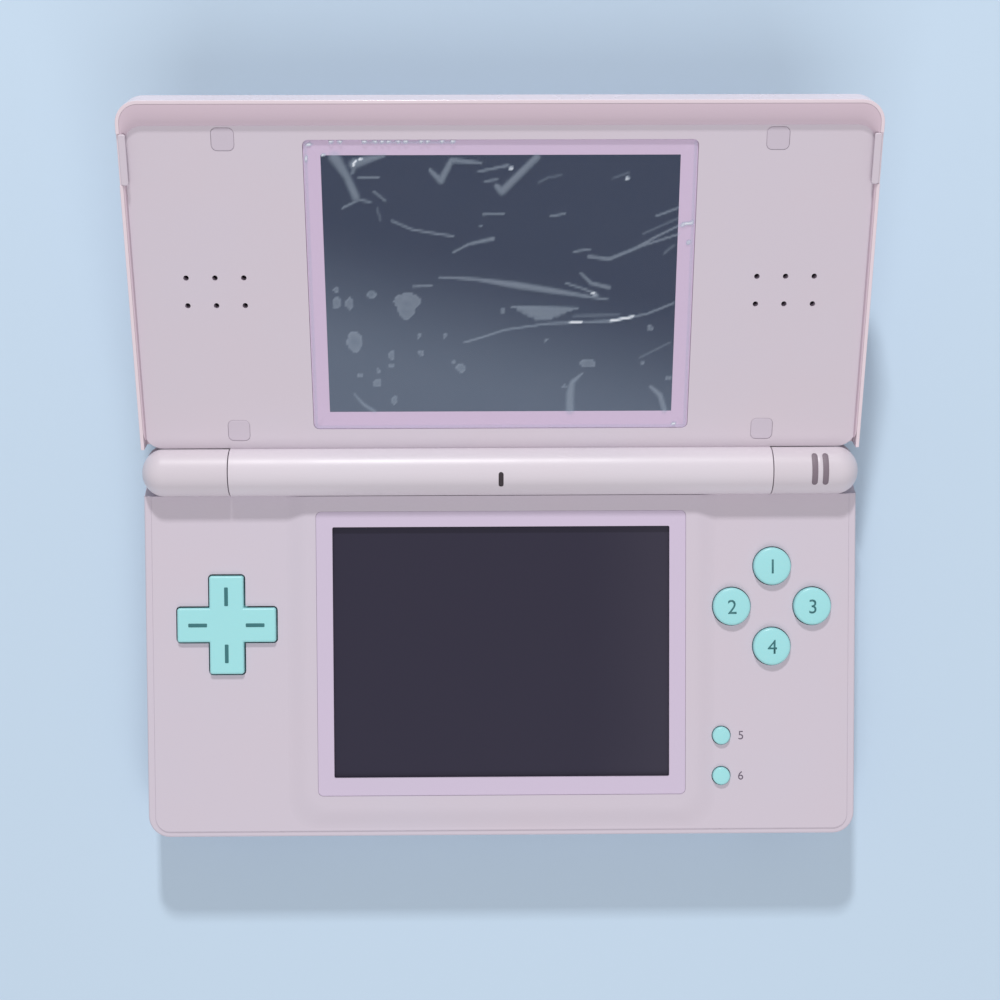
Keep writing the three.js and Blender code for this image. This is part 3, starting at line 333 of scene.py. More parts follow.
def useGroup(tree, group, **values):
    node = tree.nodes.new("ShaderNodeGroup")
    node.node_tree = group
    for key, value in values.items():
        node.inputs[key.replace("_", " ")].default_value = value
    return node


def moulded(name, look):
    look = {**plainLook, **look}
    material = bpy.data.materials.new(name)
    material.use_nodes = True
    tree = material.node_tree
    shader = tree.nodes["Principled BSDF"]
    shader.inputs["Metallic"].default_value = look["metallic"]
    shader.inputs["IOR"].default_value = look["ior"]
    shader.inputs["Coat Weight"].default_value = look["coat"]
    shader.inputs["Coat Roughness"].default_value = look["coatRoughness"]
    shader.inputs["Subsurface Weight"].default_value = look["glow"]
    shader.inputs["Subsurface Radius"].default_value = glowReach["radius"]
    shader.inputs["Subsurface Scale"].default_value = glowReach["scale"]
    where = tree.nodes.new("ShaderNodeTexCoord")
    tint = useGroup(tree, tintDrift, Main=(*look["color"], 1), Drift=(*look["drift"], 1),
                    Scale=look["driftScale"], Amount=look["driftAmount"])
    grain = useGroup(tree, mouldGrain, Scale=look["grainScale"], Smooth=look["smooth"],
                     Rough=look["rough"], Smudge_Scale=look["smudgeScale"])
    bump = tree.nodes.new("ShaderNodeBump")
    bump.inputs["Strength"].default_value = look["grain"]
    bump.inputs["Distance"].default_value = look["grainDepth"]
    link = tree.links.new
    link(where.outputs["Object"], tint.inputs["Vector"])
    link(where.outputs["Object"], grain.inputs["Vector"])
    link(tint.outputs["Color"], shader.inputs["Base Color"])
    link(grain.outputs["Roughness"], shader.inputs["Roughness"])
    link(grain.outputs["Height"], bump.inputs["Height"])
    link(bump.outputs["Normal"], shader.inputs["Normal"])
    return material


looks = {
    "shell": {"color": (0.60, 0.545, 0.625), "drift": (0.615, 0.535, 0.60), "smooth": 0.36, "rough": 0.46,
              "grain": 0.16},
    # Painted light: lidInside is the shell's own plastic painted lighter, to make up for the light the
    # tilted lid misses.
    "lidInside": {"color": (0.64, 0.575, 0.65), "drift": (0.655, 0.57, 0.63), "smooth": 0.36, "rough": 0.46,
                  "grain": 0.16},
    # Painted light: the barrel is the lid's plastic painted lighter still, standing in for the light its
    # rounded top catches.
    "barrel": {"color": (0.68, 0.63, 0.69), "drift": (0.69, 0.62, 0.675), "smooth": 0.34, "rough": 0.42,
               "grain": 0.08},
    # Painted light: the caps are the shell's plastic painted lighter, standing in for the light their domes
    # catch.
    "cap": {"color": (0.645, 0.595, 0.65), "drift": (0.655, 0.585, 0.64), "smooth": 0.34, "rough": 0.42,
            "grain": 0.08},
    # Painted shade and bounce: the rolled walls are the lid's plastic painted darker and pinker, standing
    # in for shade and pink bounced light in the cove.
    "rollPaintedBounceShade": {"color": (0.635, 0.51, 0.59), "drift": (0.65, 0.515, 0.585), "smooth": 0.36, "rough": 0.46,
                "grain": 0.16},
    "lidShell": {"color": (0.80, 0.675, 0.73), "drift": (0.78, 0.66, 0.725), "smooth": 0.2, "rough": 0.3,
                 "coat": 0.3, "grain": 0.05},
    "lilac": {"color": (0.595, 0.515, 0.65), "drift": (0.61, 0.505, 0.66), "smooth": 0.3, "rough": 0.42,
              "grain": 0.08},
    "lensBorder": {"color": (0.63, 0.50, 0.67), "drift": (0.645, 0.505, 0.66), "smooth": 0.3, "rough": 0.4,
                   "grain": 0.03},
    "mint": {"color": (0.36, 0.735, 0.755), "drift": (0.35, 0.70, 0.73), "smooth": 0.28, "rough": 0.38,
             "grain": 0.06, "glow": 0.05},
    "ink": {"color": (0.042, 0.165, 0.18), "drift": (0.055, 0.185, 0.2), "smooth": 0.45, "rough": 0.6},
    "greyInk": {"color": (0.15, 0.12, 0.165), "drift": (0.18, 0.15, 0.2), "smooth": 0.5, "rough": 0.6},
    "rubber": {"color": (0.60, 0.53, 0.61), "drift": (0.585, 0.52, 0.60), "smooth": 0.6, "rough": 0.75,
               "grain": 0.15},
    "footRubber": {"color": (0.27, 0.24, 0.28), "drift": (0.22, 0.2, 0.24), "smooth": 0.65, "rough": 0.8,
                   "grain": 0.4},
    "dark": {"color": (0.045, 0.035, 0.042), "drift": (0.055, 0.045, 0.052), "smooth": 0.4, "rough": 0.6},
    "indicator": {"color": (0.205, 0.16, 0.195), "drift": (0.23, 0.185, 0.22), "smooth": 0.5, "rough": 0.6},
    "steel": {"color": (0.62, 0.63, 0.66), "drift": (0.5, 0.51, 0.54), "smooth": 0.22, "rough": 0.4,
              "metallic": 1.0, "grainScale": 5000.0},
    "battery": {"color": (0.32, 0.33, 0.36), "drift": (0.27, 0.28, 0.31), "smooth": 0.3, "rough": 0.5},
    "circuit": {"color": (0.05, 0.17, 0.10), "drift": (0.08, 0.24, 0.13), "smooth": 0.3, "rough": 0.45,
                "driftScale": 300.0},
}
finish = {name: moulded(name, look) for name, look in looks.items()}


# Painted reflection: the upper screen is painted lighter towards the hinge and the lower one lighter to the
# right, standing in for room light mirrored in the glass; a lean turns the fade's line.
# The film is clear but for its creases; its bright colour whitens the creases and, at the bright marks,
# paints highlights.
upperGlass = {"near": (0.107, 0.136, 0.192), "far": (0.031, 0.042, 0.080), "fadeFrom": 12.0,
              "fadeTo": 40.0, "along": "Y", "lean": -0.26, "smooth": 0.1, "rough": 0.18}
lowerGlass = {"near": (0.028, 0.025, 0.046), "far": (0.040, 0.036, 0.058), "fadeFrom": 14.0,
              "fadeTo": 36.0, "along": "X", "lean": 0.0, "smooth": 0.12, "rough": 0.2}
filmLook = {"color": (0.50, 0.63, 0.78), "drift": (0.55, 0.64, 0.80), "bright": (0.92, 0.93, 0.96),
            "clear": 0.015, "smooth": 0.16, "rough": 0.26, "grain": 0.0, "driftScale": 120.0}


def paintedReflectionGlass(name, look, place, turn):
    material = moulded(name, {"color": look["far"], "drift": look["far"], "smooth": look["smooth"],
                              "rough": look["rough"], "grain": 0.0})
    tree = material.node_tree
    where = tree.nodes.new("ShaderNodeTexCoord")
    placed = addNode(tree, "ShaderNodeMapping", {"vector_type": "TEXTURE"},
                     Location=place, Rotation=(turn, 0, look["lean"]))
    split = tree.nodes.new("ShaderNodeSeparateXYZ")
    fade = spreadNode(tree, look["fadeFrom"] * mm, look["fadeTo"] * mm)
    fade.interpolation_type = "SMOOTHSTEP"
    mix = mixNode(tree, look["near"], look["far"])
    link = tree.links.new
    link(where.outputs["Object"], placed.inputs["Vector"])
    link(placed.outputs["Vector"], split.inputs["Vector"])
    link(split.outputs[look["along"]], fade.inputs["Value"])
    link(fade.outputs["Result"], mix.inputs["Factor"])
    link(mix.outputs[mixAt["result"]], tree.nodes["Principled BSDF"].inputs["Base Color"])
    return material


def makeFilmPlastic():
    look = filmLook
    material = moulded("clearFilm", look)
    tree = material.node_tree
    shader = tree.nodes["Principled BSDF"]
    crease = addNode(tree, "ShaderNodeAttribute", {"attribute_name": "crease"})
    opacity = tree.nodes.new("ShaderNodeMapRange")
    opacity.inputs["To Min"].default_value = look["clear"]
    # The crease mask mixes in the bright colour: a light haze on creases and a painted highlight at the
    # glint marks.
    mix = mixNode(tree, second=look["bright"])
    link = tree.links.new
    link(crease.outputs["Fac"], opacity.inputs["Value"])
    link(opacity.outputs["Result"], shader.inputs["Alpha"])
    link(crease.outputs["Fac"], mix.inputs["Factor"])
    link(shader.inputs["Base Color"].links[0].from_socket, mix.inputs[mixAt["first"]])
    link(mix.outputs[mixAt["result"]], shader.inputs["Base Color"])
    return material


finish["upperGlass"] = paintedReflectionGlass("upperGlass", upperGlass, hingeAt, lidTilt)
finish["lowerGlass"] = paintedReflectionGlass("lowerGlass", lowerGlass, (0, 0, 0), 0)
finish["clearFilm"] = makeFilmPlastic()
print("materials ready", len(finish))


# Base: upper shell

gaps = {"cross": 0.28, "moving": 0.16, "fixed": 0.02}
shell = {"half": 66.5, "front": -68.7, "rear": 5.2, "corner": 4.0, "seam": 6.35, "shoulder": 11.68,
         "shoulderEdge": 0.35, "sideStep": 1.3, "frontStep": 1.0, "top": 11.9, "topEdge": 0.2,
         "wall": 2.6, "ceiling": 10.4, "beam": 9.4, "middleTop": 12.6, "middleHalf": 36.0, "slope": 4.5,
         "sink": 0.02, "middleCorner": 5.0, "axis": 12.6, "trough": 4.5, "troughWall": 1.6,
         "innerCorner": 1.6, "root": 1.0, "tunnelTop": 7.3}
lowerFrame = {"half": 34.5, "front": -60.9, "rear": -7.4, "corner": 1.0, "top": 12.45, "bottom": 11.9,
              "edge": 0.05, "windowHalf": 31.45, "windowFront": -57.5, "windowRear": -10.3,
              "windowCorner": 0.3, "ledge": 1.35, "glassCorner": 0.4, "glassEdge": 0.15}
cross = {"x": -51.3, "y": -28.5, "span": 18.4, "arm": 6.4, "top": 12.8, "edge": 0.45, "corner": 0.5,
         "flange": 10.2, "flangeTop": 9.6, "flangeBottom": 9.0}
crossMarks = {"at": 5.35, "length": 3.5, "width": 0.7, "corner": 0.15, "deep": 0.2, "proud": 0.02}
buttons = {"x": 50.7, "y": -25.5, "offset": 7.55, "radius": 3.5, "top": 13.1, "collar": 4.5,
           "collarTop": 10.1, "collarBottom": 9.4, "crown": 0.12, "edge": 0.5, "edgeTurn": 84}
smallButtons = {"x": 41.3, "startY": -49.9, "selectY": -57.55, "radius": 1.65, "top": 12.7, "collar": 2.5,
                "crown": 0.08, "edge": 0.35, "markOffset": 3.7}
numerals = {"height": 2.6, "proud": 0.015, "smallHeight": 1.6, "smallProud": 0.02, "thick": 0.06,
            "drawnAt": 1.4}
buttonPlaces = {
    "top": (buttons["x"], buttons["y"] + buttons["offset"]),
    "left": (buttons["x"] - buttons["offset"], buttons["y"]),
    "right": (buttons["x"] + buttons["offset"], buttons["y"]),
    "bottom": (buttons["x"], buttons["y"] - buttons["offset"]),
}


def plusShape(x, y, span, arm, low, high, corner, rim):
    bm = bmesh.new()
    bmesh.ops.create_grid(bm, x_segments=3, y_segments=3, size=0.5)
    for vert in bm.verts:
        for axis in (0, 1):
            inner = abs(vert.co[axis]) < 0.4  # the grid's lines stand at a sixth and at a half
            vert.co[axis] = math.copysign(arm / 2 if inner else span / 2, vert.co[axis])
    middles = {face: face.calc_center_median() for face in bm.faces}
    corners = [face for face, spot in middles.items() if min(abs(spot.x), abs(spot.y)) > arm / 2]
    bmesh.ops.delete(bm, geom=corners, context="FACES")
    bmesh.ops.dissolve_faces(bm, faces=bm.faces[:])
    tips = [v for v in bm.verts if max(abs(v.co.x), abs(v.co.y)) > span / 2 - 0.01]
    bmesh.ops.bevel(bm, geom=tips, offset=corner, offset_type="OFFSET", segments=5, profile=0.5,
                    affect="VERTICES", material=-1)
    bmesh.ops.translate(bm, vec=(x, y, low), verts=bm.verts[:])
    raisePlate(bm, high - low)
    if rim > 0:
        roundRim(bm, high, rim, 4)
    return bm


# The middle of the deck swells gently towards the lower screen.
def raisedMiddle():
    s = shell
    half = s["middleHalf"] + s["slope"]
    front = s["front"] + s["frontStep"] + s["topEdge"]
    steps = 10
    stations = [(half, front, 0, s["top"] - s["root"])]
    for step in range(steps + 1):
        t = step / steps
        swell = t * t * (3 - 2 * t)
        height = s["top"] - s["sink"] + (s["middleTop"] - s["top"] + s["sink"]) * swell
        stations.append((half - s["slope"] * t, front + s["slope"] * t, 0, height))
    return stacked(stations, s["middleCorner"])


def makeDeck():
    s = shell
    f = lowerFrame
    c = cross
    gap = gaps["moving"]
    thin = gaps["fixed"]
    around = gaps["cross"]
    above = s["top"] + over
    below = s["ceiling"] - over
    walls = midSlab(s["half"], s["front"], s["rear"], s["seam"], s["shoulder"], s["corner"],
                    s["shoulderEdge"])
    step = midSlab(s["half"] - s["sideStep"], s["front"] + s["frontStep"], s["rear"] - s["sideStep"],
                   s["shoulder"] - s["root"], s["top"], s["corner"] - s["sideStep"], s["topEdge"])
    bm = combine(walls, [step, raisedMiddle()], "UNION")
    cuts = [
        midSlab(s["half"] - s["wall"], s["front"] + s["wall"], -s["trough"] - s["troughWall"],
                s["seam"] - over, s["ceiling"], s["innerCorner"]),
        drum(s["trough"], -s["half"] - over, s["half"] + over, 0, s["axis"], "barrel", "X"),
        midSlab(s["half"] + over, 0, s["rear"] + over, s["beam"], s["axis"] + over),
        midSlab(f["half"] + thin, f["front"] - thin, f["rear"] + thin, f["bottom"] - thin,
                s["middleTop"] + over, f["corner"] + thin),
        midSlab(f["windowHalf"] + f["ledge"], f["windowFront"] - f["ledge"],
                f["windowRear"] + f["ledge"], below, s["middleTop"] + over),
        plusShape(c["x"], c["y"], c["span"] + 2 * around, c["arm"] + 2 * around, below, above,
                  c["corner"] + around, 0),
    ]
    for x, y in buttonPlaces.values():
        cuts.append(drum(buttons["radius"] + gap, below, above, x, y))
    for y in (smallButtons["startY"], smallButtons["selectY"]):
        cuts.append(drum(smallButtons["radius"] + gap, below, above, smallButtons["x"], y, "bore"))
    cuts += wallCuts()
    bm = combine(bm, cuts)
    piece("upperShell", bm, onBase, "base", finish["shell"], ["base_deck"], soften=0.08)


wallParts = {"floor": 2.2, "cardHalf": 18.5, "cardReach": -35, "portX": -32.0, "portHalf": 3.8,
             "portTop": 6.9, "portReach": -6.3, "coverHalf": 30.3, "coverLow": 2.6, "coverHigh": 9.0,
             "coverDepth": 3.3, "jackX": 52.0, "jackZ": 6.9, "jackRadius": 2.8, "stylusY": -44.0,
             "stylusZ": 4.75, "stylusRadius": 2.6}
sliderSlots = {"z": 8.4, "half": 1.3, "depth": 1.2, "powerFrom": -19.8, "powerTo": -12.2,
               "volumeFrom": -52.8, "volumeTo": -39.2}
shoulderRoom = {"inner": 43.7, "near": 0.5, "low": 2.7, "pocketOuter": 64.6, "pocketNear": -1.0,
                "pocketFar": 0.8}


def wallCuts():
    s = shell
    w = wallParts
    slots = sliderSlots
    room = shoulderRoom
    slotLow = slots["z"] - slots["half"]
    slotHigh = slots["z"] + slots["half"]
    behind = s["rear"] + over
    ahead = s["front"] - over
    cuts = [
        midSlab(w["cardHalf"], w["cardReach"], behind, w["floor"], s["tunnelTop"]),
        slab(w["portX"] - w["portHalf"], w["portX"] + w["portHalf"], w["portReach"], behind, w["floor"],
             w["portTop"]),
        midSlab(w["coverHalf"], ahead, s["front"] + w["coverDepth"], w["coverLow"], w["coverHigh"]),
        drum(w["jackRadius"], ahead, s["front"] + over, w["jackX"], w["jackZ"], "bore", "Y"),
        drum(w["stylusRadius"], s["half"] - over, s["half"] + over, w["stylusY"], w["stylusZ"],
             "bore", "X"),
        slab(s["half"] - slots["depth"], s["half"] + over, slots["powerFrom"], slots["powerTo"],
             slotLow, slotHigh),
        slab(slots["volumeFrom"], slots["volumeTo"], ahead, s["front"] + slots["depth"],
             slotLow, slotHigh),
    ]
    for side in (-1, 1):
        outer = sorted((side * room["inner"], side * (s["half"] + over)))
        inner = sorted((side * room["inner"], side * room["pocketOuter"]))
        cuts.append(slab(*outer, room["near"], behind, room["low"], s["tunnelTop"]))
        cuts.append(slab(*inner, room["pocketNear"], room["pocketFar"], room["low"], s["tunnelTop"]))
    return cuts


makeDeck()
print("upper shell")


def makeLowerFrame():
    f = lowerFrame
    bm = midSlab(f["half"], f["front"], f["rear"], f["bottom"], f["top"], f["corner"], f["edge"],
                 steps=6, rimSteps=2)
    window = midSlab(f["windowHalf"], f["windowFront"], f["windowRear"], f["bottom"] - over,
                     f["top"] + over, f["windowCorner"])
    piece("lowerScreenFrame", combine(bm, [window]), onBase, "base", finish["lilac"],
          ["lower_screen_frame"], soften=0.12)
    low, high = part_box("touch_panel")
    glass = slab(low.x / mm, high.x / mm, (low.y - hingeAt.y) / mm, (high.y - hingeAt.y) / mm,
                 low.z / mm, high.z / mm, f["glassCorner"], f["glassEdge"], f["glassEdge"],
                 steps=4, rimSteps=2)
    piece("lowerScreenGlass", glass, onBase, "base", finish["lowerGlass"],
          ["touch_panel"], soften=0)


makeLowerFrame()


def makeDirectionPad():
    c = cross
    m = crossMarks
    cap = plusShape(c["x"], c["y"], c["span"], c["arm"], c["flangeBottom"], c["top"], c["corner"],
                    c["edge"])
    flange = drum(c["flange"], c["flangeBottom"], c["flangeTop"], c["x"], c["y"])
    whole = combine(cap, [flange], "UNION")
    piece("directionPad", whole, onBase, "dpad", finish["mint"], ["dpad_cap"], soften=0.08)
    bars = bmesh.new()
    for turn in range(4):
        bar = slab(m["at"] - m["length"] / 2, m["at"] + m["length"] / 2, -m["width"] / 2, m["width"] / 2,
                   c["top"] - m["deep"], c["top"] + m["proud"], m["corner"], steps=3)
        bmesh.ops.rotate(bar, matrix=Matrix.Rotation(turn * math.pi / 2, 3, "Z"), verts=bar.verts[:])
        bmesh.ops.translate(bar, vec=(c["x"], c["y"], 0), verts=bar.verts[:])
        addShape(bars, bar)
    piece("directionMarks", bars, onBase, "dpad", finish["ink"], soften=0)


def addShape(bm, other):
    mesh = bpy.data.meshes.new("part")
    other.to_mesh(mesh)
    other.free()
    bm.from_mesh(mesh)
    bpy.data.meshes.remove(mesh)


def buttonProfile(radius, top, collar, crown, edge):
    low = buttons["collarBottom"]
    high = buttons["collarTop"]
    points = [(0, low), (collar, low), (collar, high), (radius, high)]
    points += arcPoints(radius - edge, top - crown - edge, edge, edge, 0, buttons["edgeTurn"], 6)
    points += [((radius - edge) * k, top - crown * k * k) for k in (0.75, 0.5, 0.25)]
    return points + [(0, top)]


def numeral(text, x, y, top, height):
    curve = bpy.data.curves.new("numeral", "FONT")
    curve.body = text
    curve.size = numerals["drawnAt"] * height
    curve.extrude = numerals["thick"]
    holder = bpy.data.objects.new("numeral", curve)
    bpy.context.scene.collection.objects.link(holder)
    depsgraph = bpy.context.evaluated_depsgraph_get()
    mesh = bpy.data.meshes.new_from_object(holder.evaluated_get(depsgraph))
    bm = bmesh.new()
    bm.from_mesh(mesh)
    bmesh.ops.remove_doubles(bm, verts=bm.verts[:], dist=fine["pointWeld"])
    xs = [v.co.x for v in bm.verts]
    ys = [v.co.y for v in bm.verts]
    size = height / (max(ys) - min(ys))
    toMiddle = (-(min(xs) + max(xs)) / 2, -(min(ys) + max(ys)) / 2, -curve.extrude)
    bmesh.ops.translate(bm, vec=toMiddle, verts=bm.verts[:])
    bmesh.ops.scale(bm, vec=(size, size, 1), verts=bm.verts[:])
    bmesh.ops.translate(bm, vec=(x, y, top), verts=bm.verts[:])
    bpy.data.objects.remove(holder)
    bpy.data.meshes.remove(mesh)
    return bm


def makeButtons():
    b = buttons
    n = numerals
    figures = {"top": "1", "left": "2", "right": "3", "bottom": "4"}
    for side, (x, y) in buttonPlaces.items():
        profile = buttonProfile(b["radius"], b["top"], b["collar"], b["crown"], b["edge"])
        piece(f"faceButton_{side}", turned(profile, x, y), onBase, f"{side}_button", finish["mint"],
              [f"button_{side}"], soften=0)
        mark = numeral(figures[side], x, y, b["top"] + n["proud"], n["height"])
        piece(f"faceNumeral_{side}", mark, onBase, f"{side}_button", finish["ink"],
              soften=0)
    m = smallButtons
    for name, y in (("start", m["startY"]), ("select", m["selectY"])):
        profile = buttonProfile(m["radius"], m["top"], m["collar"], m["crown"], m["edge"])
        cap = turned(profile, m["x"], y, "smallButton")
        piece(f"smallButton_{name}", cap, onBase, name, finish["mint"],
              [f"{name}_button"], soften=0)
        mark = numeral("5" if name == "start" else "6", m["x"] + m["markOffset"], y,
                       shell["top"] + n["smallProud"], n["smallHeight"])
        piece(f"printedMark_{name}", mark, onBase, "base", finish["greyInk"], soften=0)


makeDirectionPad()
makeButtons()
print("controls")


# Hinge

hinge = {"radius": 4.4, "seam": 50.2, "dome": 4.0, "gap": 0.18, "pin": 2.4, "pinDeep": 6.0,
         "bridgeLow": -3.9, "bridgeHigh": -0.9, "bridgeNear": 1.5, "bridgeFar": 6.1, "bridgeRoom": 0.3}
lights = {"places": (57.85, 59.85), "half": 0.52, "near": -2.6, "far": 3.2, "sunk": 0.06, "deep": 1.6}
endFlat = 0.02  # what stays flat between the two full corners at the end of a slot


def makeCaps():
    h = hinge
    inner = h["seam"] + h["gap"] / 2
    start = shell["half"] - h["dome"]
    for side, name in ((-1, "left"), (1, "right")):
        profile = [(0, inner), (h["radius"], inner)]
        profile += arcPoints(0, start, h["radius"], h["dome"], 0, 90, 14)
        profile[-1] = (0, shell["half"])
        bm = turned(profile)
        bmesh.ops.rotate(bm, matrix=Matrix.Rotation(side * math.pi / 2, 3, "Y"), verts=bm.verts[:])
        bmesh.ops.translate(bm, vec=(0, 0, shell["axis"]), verts=bm.verts[:])
        ends = sorted((side * (inner - over), side * (inner + h["pinDeep"])))
        cuts = [drum(h["pin"], ends[0], ends[1], 0, shell["axis"], "bore", "X")]
        if side > 0:
            cuts += [lightSlot(x, gaps["fixed"] / 2) for x in lights["places"]]
        piece(f"hingeCap_{name}", combine(bm, cuts), onBase, "base", finish["cap"],
              [f"hinge_cap_{name}"], soften=0.12, softenAngle=40)
    for x, name in zip(lights["places"], ("power", "charge")):
        skin = drum(h["radius"] - lights["sunk"], 0, shell["half"], 0, shell["axis"], "barrel", "X")
        bar = combine(lightSlot(x, 0), [skin], "INTERSECT")
        piece(f"lightBar_{name}", bar, onBase, "base", finish["indicator"],
              [f"light_guide_{name}"], soften=0.08)


def lightSlot(x, margin):
    half = lights["half"] + margin
    top = shell["axis"] + hinge["radius"]
    return slab(x - half, x + half, lights["near"] - margin, lights["far"] + margin,
                top - lights["deep"] - margin, top + over, half - endFlat, steps=6)


makeCaps()
print("hinge caps")


# Lid

lid = {"half": 66.5, "near": 4.46, "far": 68.25, "corner": 4.0, "rim": 0.0, "back": -8.9, "edge": 3.2,
       "rimWall": 0.65, "face": -0.9, "plate": -3.0, "lip": -0.04, "lipFlat": 0.2, "footSide": 65.45,
       "footFar": 63.8, "footCorner": 3.4, "seat": -3.3, "wall": 1.4}
lens = {"half": 34.5, "near": 8.1, "far": 61.3, "corner": 1.0, "top": -1.2, "bottom": -2.0, "edge": 0.12,
        "viewHalf": 31.45, "viewNear": 11.4, "viewFar": 58.6, "holeHalf": 32.45, "holeNear": 10.1,
        "holeFar": 59.3}
bumpers = {"x": 48.3, "far": 61.45, "near": 7.95, "half": 2.0, "corner": 1.0, "edge": 0.18, "top": -0.84,
           "bottom": -1.3, "room": 0.03, "pocket": 0.3}
lugs = {"inner": 64.9, "outer": 66.2, "near": 53.6, "far": 62.5, "top": 0.2, "bottom": -0.3,
        "corner": 0.4, "edge": 0.2}
sound = {"x": (45.9, 51.05, 56.2), "y": (31.7, 36.8), "radius": 0.5}
micSlot = {"half": 0.46, "length": 1.45}
lookMargin = {"barrel": 0.06, "roll": 0.01}


def lugCuts(margin):
    cuts = []
    for side in (-1, 1):
        span = sorted((side * (lugs["inner"] - margin), side * (lid["half"] + over)))
        cuts.append(slab(*span, lugs["near"] - margin, lugs["far"] + margin, lugs["bottom"] - margin,
                         lid["rim"] + over))
    return cuts


# The inside of the lid: its walls roll outwards as they rise, wide at the far end and narrow at the sides.
def lidHollow(reach, far):
    d = lid
    steps = 10
    stations = []
    for step in range(steps + 1):
        turn = math.pi / 2 * step / steps
        out = 1 - math.cos(turn)
        height = d["face"] + (d["lip"] - d["face"]) * math.sin(turn)
        stations.append((d["footSide"] + (reach - d["footSide"]) * out, 0,
                         d["footFar"] + (far - d["footFar"]) * out, height))
    stations.append((*stations[-1][:3], d["rim"] + over))
    return stacked(stations, d["footCorner"])


def makeLidFront():
    d = lid
    h = hinge
    n = lens
    thin = gaps["fixed"]
    inset = d["rimWall"] + thin
    above = d["rim"] + over
    below = d["plate"] - over
    panel = midSlab(d["half"] - inset, d["near"], d["far"] - inset, d["plate"], d["lip"],
                    d["corner"] - inset)
    hollow = lidHollow(d["half"] - inset - d["lipFlat"], d["far"] - inset - d["lipFlat"])
    end = h["seam"] - h["gap"] / 2
    barrel = drum(h["radius"], -end, end, kind="barrel", along="X")
    bridge = midSlab(end, h["bridgeNear"], h["bridgeFar"], h["bridgeLow"], h["bridgeHigh"])
    bm = combine(combine(panel, [hollow]), [barrel, bridge], "UNION")
    cuts = [
        midSlab(n["half"] + thin, n["near"] - thin, n["far"] + thin, n["bottom"] - thin, above,
                n["corner"] + thin),
        midSlab(n["holeHalf"], n["holeNear"], n["holeFar"], below, above),
        midSlab(micSlot["half"], -micSlot["length"], micSlot["length"], 0, h["radius"] + over,
                micSlot["half"] - endFlat, steps=6),
        drum(h["pin"], -h["seam"] - over, h["seam"] + over, kind="bore", along="X"),
        *lugCuts(thin),
    ]
    for side in (-1, 1):
        for y in (bumpers["far"], bumpers["near"]):
            cuts.append(bumperShape(side * bumpers["x"], y, bumpers["room"],
                                    bumpers["bottom"] - bumpers["pocket"], above, 0))
        for x in sound["x"]:
            for y in sound["y"]:
                cuts.append(drum(sound["radius"], below, above, side * x, y, "smallHole"))
    bm = combine(bm, cuts)
    for face in bm.faces:
        face.material_index = insideLook(face.calc_center_median())
    looksInside = [finish[look] for look in ("lidInside", "barrel", "rollPaintedBounceShade")]
    piece("lidInside", bm, onLid, "lid", looksInside, ["lid_front"], soften=0.06)


# The barrel and the rolled walls each take a look of their own: the lid's plastic painted lighter on the
# barrel and darker and pinker on the rolled walls, standing in for light and shade; the rest is the flat
# inside.
def insideLook(middle):
    if abs(math.hypot(middle.y, middle.z) - hinge["radius"]) < lookMargin["barrel"]:
        return 1
    if middle.z > lid["face"] + lookMargin["roll"] and middle.y > lid["footCorner"]:
        return 2
    return 0


def bumperShape(x, y, margin, low, high, rim):
    half = bumpers["half"] + margin
    return slab(x - half, x + half, y - half, y + half, low, high, bumpers["corner"] + margin, rim,
                steps=6, rimSteps=3)


def makeLidBack():
    d = lid
    above = d["rim"] + over
    plate = midSlab(d["half"], -d["far"], d["far"], d["back"], d["rim"], d["corner"],
                    bottomRim=d["edge"], rimSteps=8)
    nearEnd = slab(d["near"], 2 * d["far"], -d["half"] - over, d["half"] + over, d["back"], above)
    edges = [e for e in nearEnd.edges if all(isNearFoot(v.co) for v in e.verts)]
    bmesh.ops.bevel(nearEnd, geom=edges, offset=d["edge"], segments=8, profile=0.5, affect="EDGES",
                    material=-1)
    bmesh.ops.rotate(nearEnd, matrix=Matrix.Rotation(math.pi / 2, 3, "Z"), verts=nearEnd.verts[:])
    whole = combine(plate, [nearEnd], "INTERSECT")
    cavity = midSlab(d["half"] - d["wall"], d["near"] + d["wall"], d["far"] - d["wall"],
                     d["back"] + d["wall"], above, d["corner"] - d["wall"],
                     bottomRim=d["wall"], rimSteps=4)
    seat = midSlab(d["half"] - d["rimWall"], -over, d["far"] - d["rimWall"], d["seat"], above,
                   d["corner"] - d["rimWall"])
    bridge = midSlab(hinge["seam"] + hinge["gap"] / 2, 0, d["near"] + d["wall"] + over,
                     hinge["bridgeLow"] - hinge["bridgeRoom"], above)
    bm = combine(whole, [cavity, seat, bridge, *lugCuts(gaps["fixed"])])
    piece("lidOutside", bm, onLid, "lid", finish["lidShell"], ["lid_back"], soften=0.1)


# The edge along the bottom of the near end, before that end is turned round to face the hinge.
def isNearFoot(spot):
    return abs(spot.x - lid["near"]) < fine["level"] and abs(spot.z - lid["back"]) < fine["level"]


def topPane(bm):
    bm.faces.ensure_lookup_table()
    return max((f for f in bm.faces if f.normal.z > fine["facingUp"]), key=lambda f: f.calc_area())


def makeUpperScreen():
    n = lens
    bm = midSlab(n["half"], n["near"], n["far"], n["bottom"], n["top"], n["corner"], n["edge"],
                 steps=6, rimSteps=3)
    tops = [face for face in bm.faces if face.normal.z > fine["facingUp"]]
    bmesh.ops.inset_region(bm, faces=tops, thickness=n["half"] - n["viewHalf"] - n["edge"],
                           use_even_offset=True)
    pane = topPane(bm)
    middle = pane.calc_center_median().y
    for vert in pane.verts:
        vert.co.y = n["viewNear"] if vert.co.y < middle else n["viewFar"]
        vert.co.x = math.copysign(n["viewHalf"], vert.co.x)
    bmesh.ops.remove_doubles(bm, verts=pane.verts[:], dist=fine["paneWeld"])
    topPane(bm).material_index = 1
    piece("upperScreenLens", bm, onLid, "lid", [finish["lensBorder"], finish["upperGlass"]],
          ["upper_lens"], soften=0)


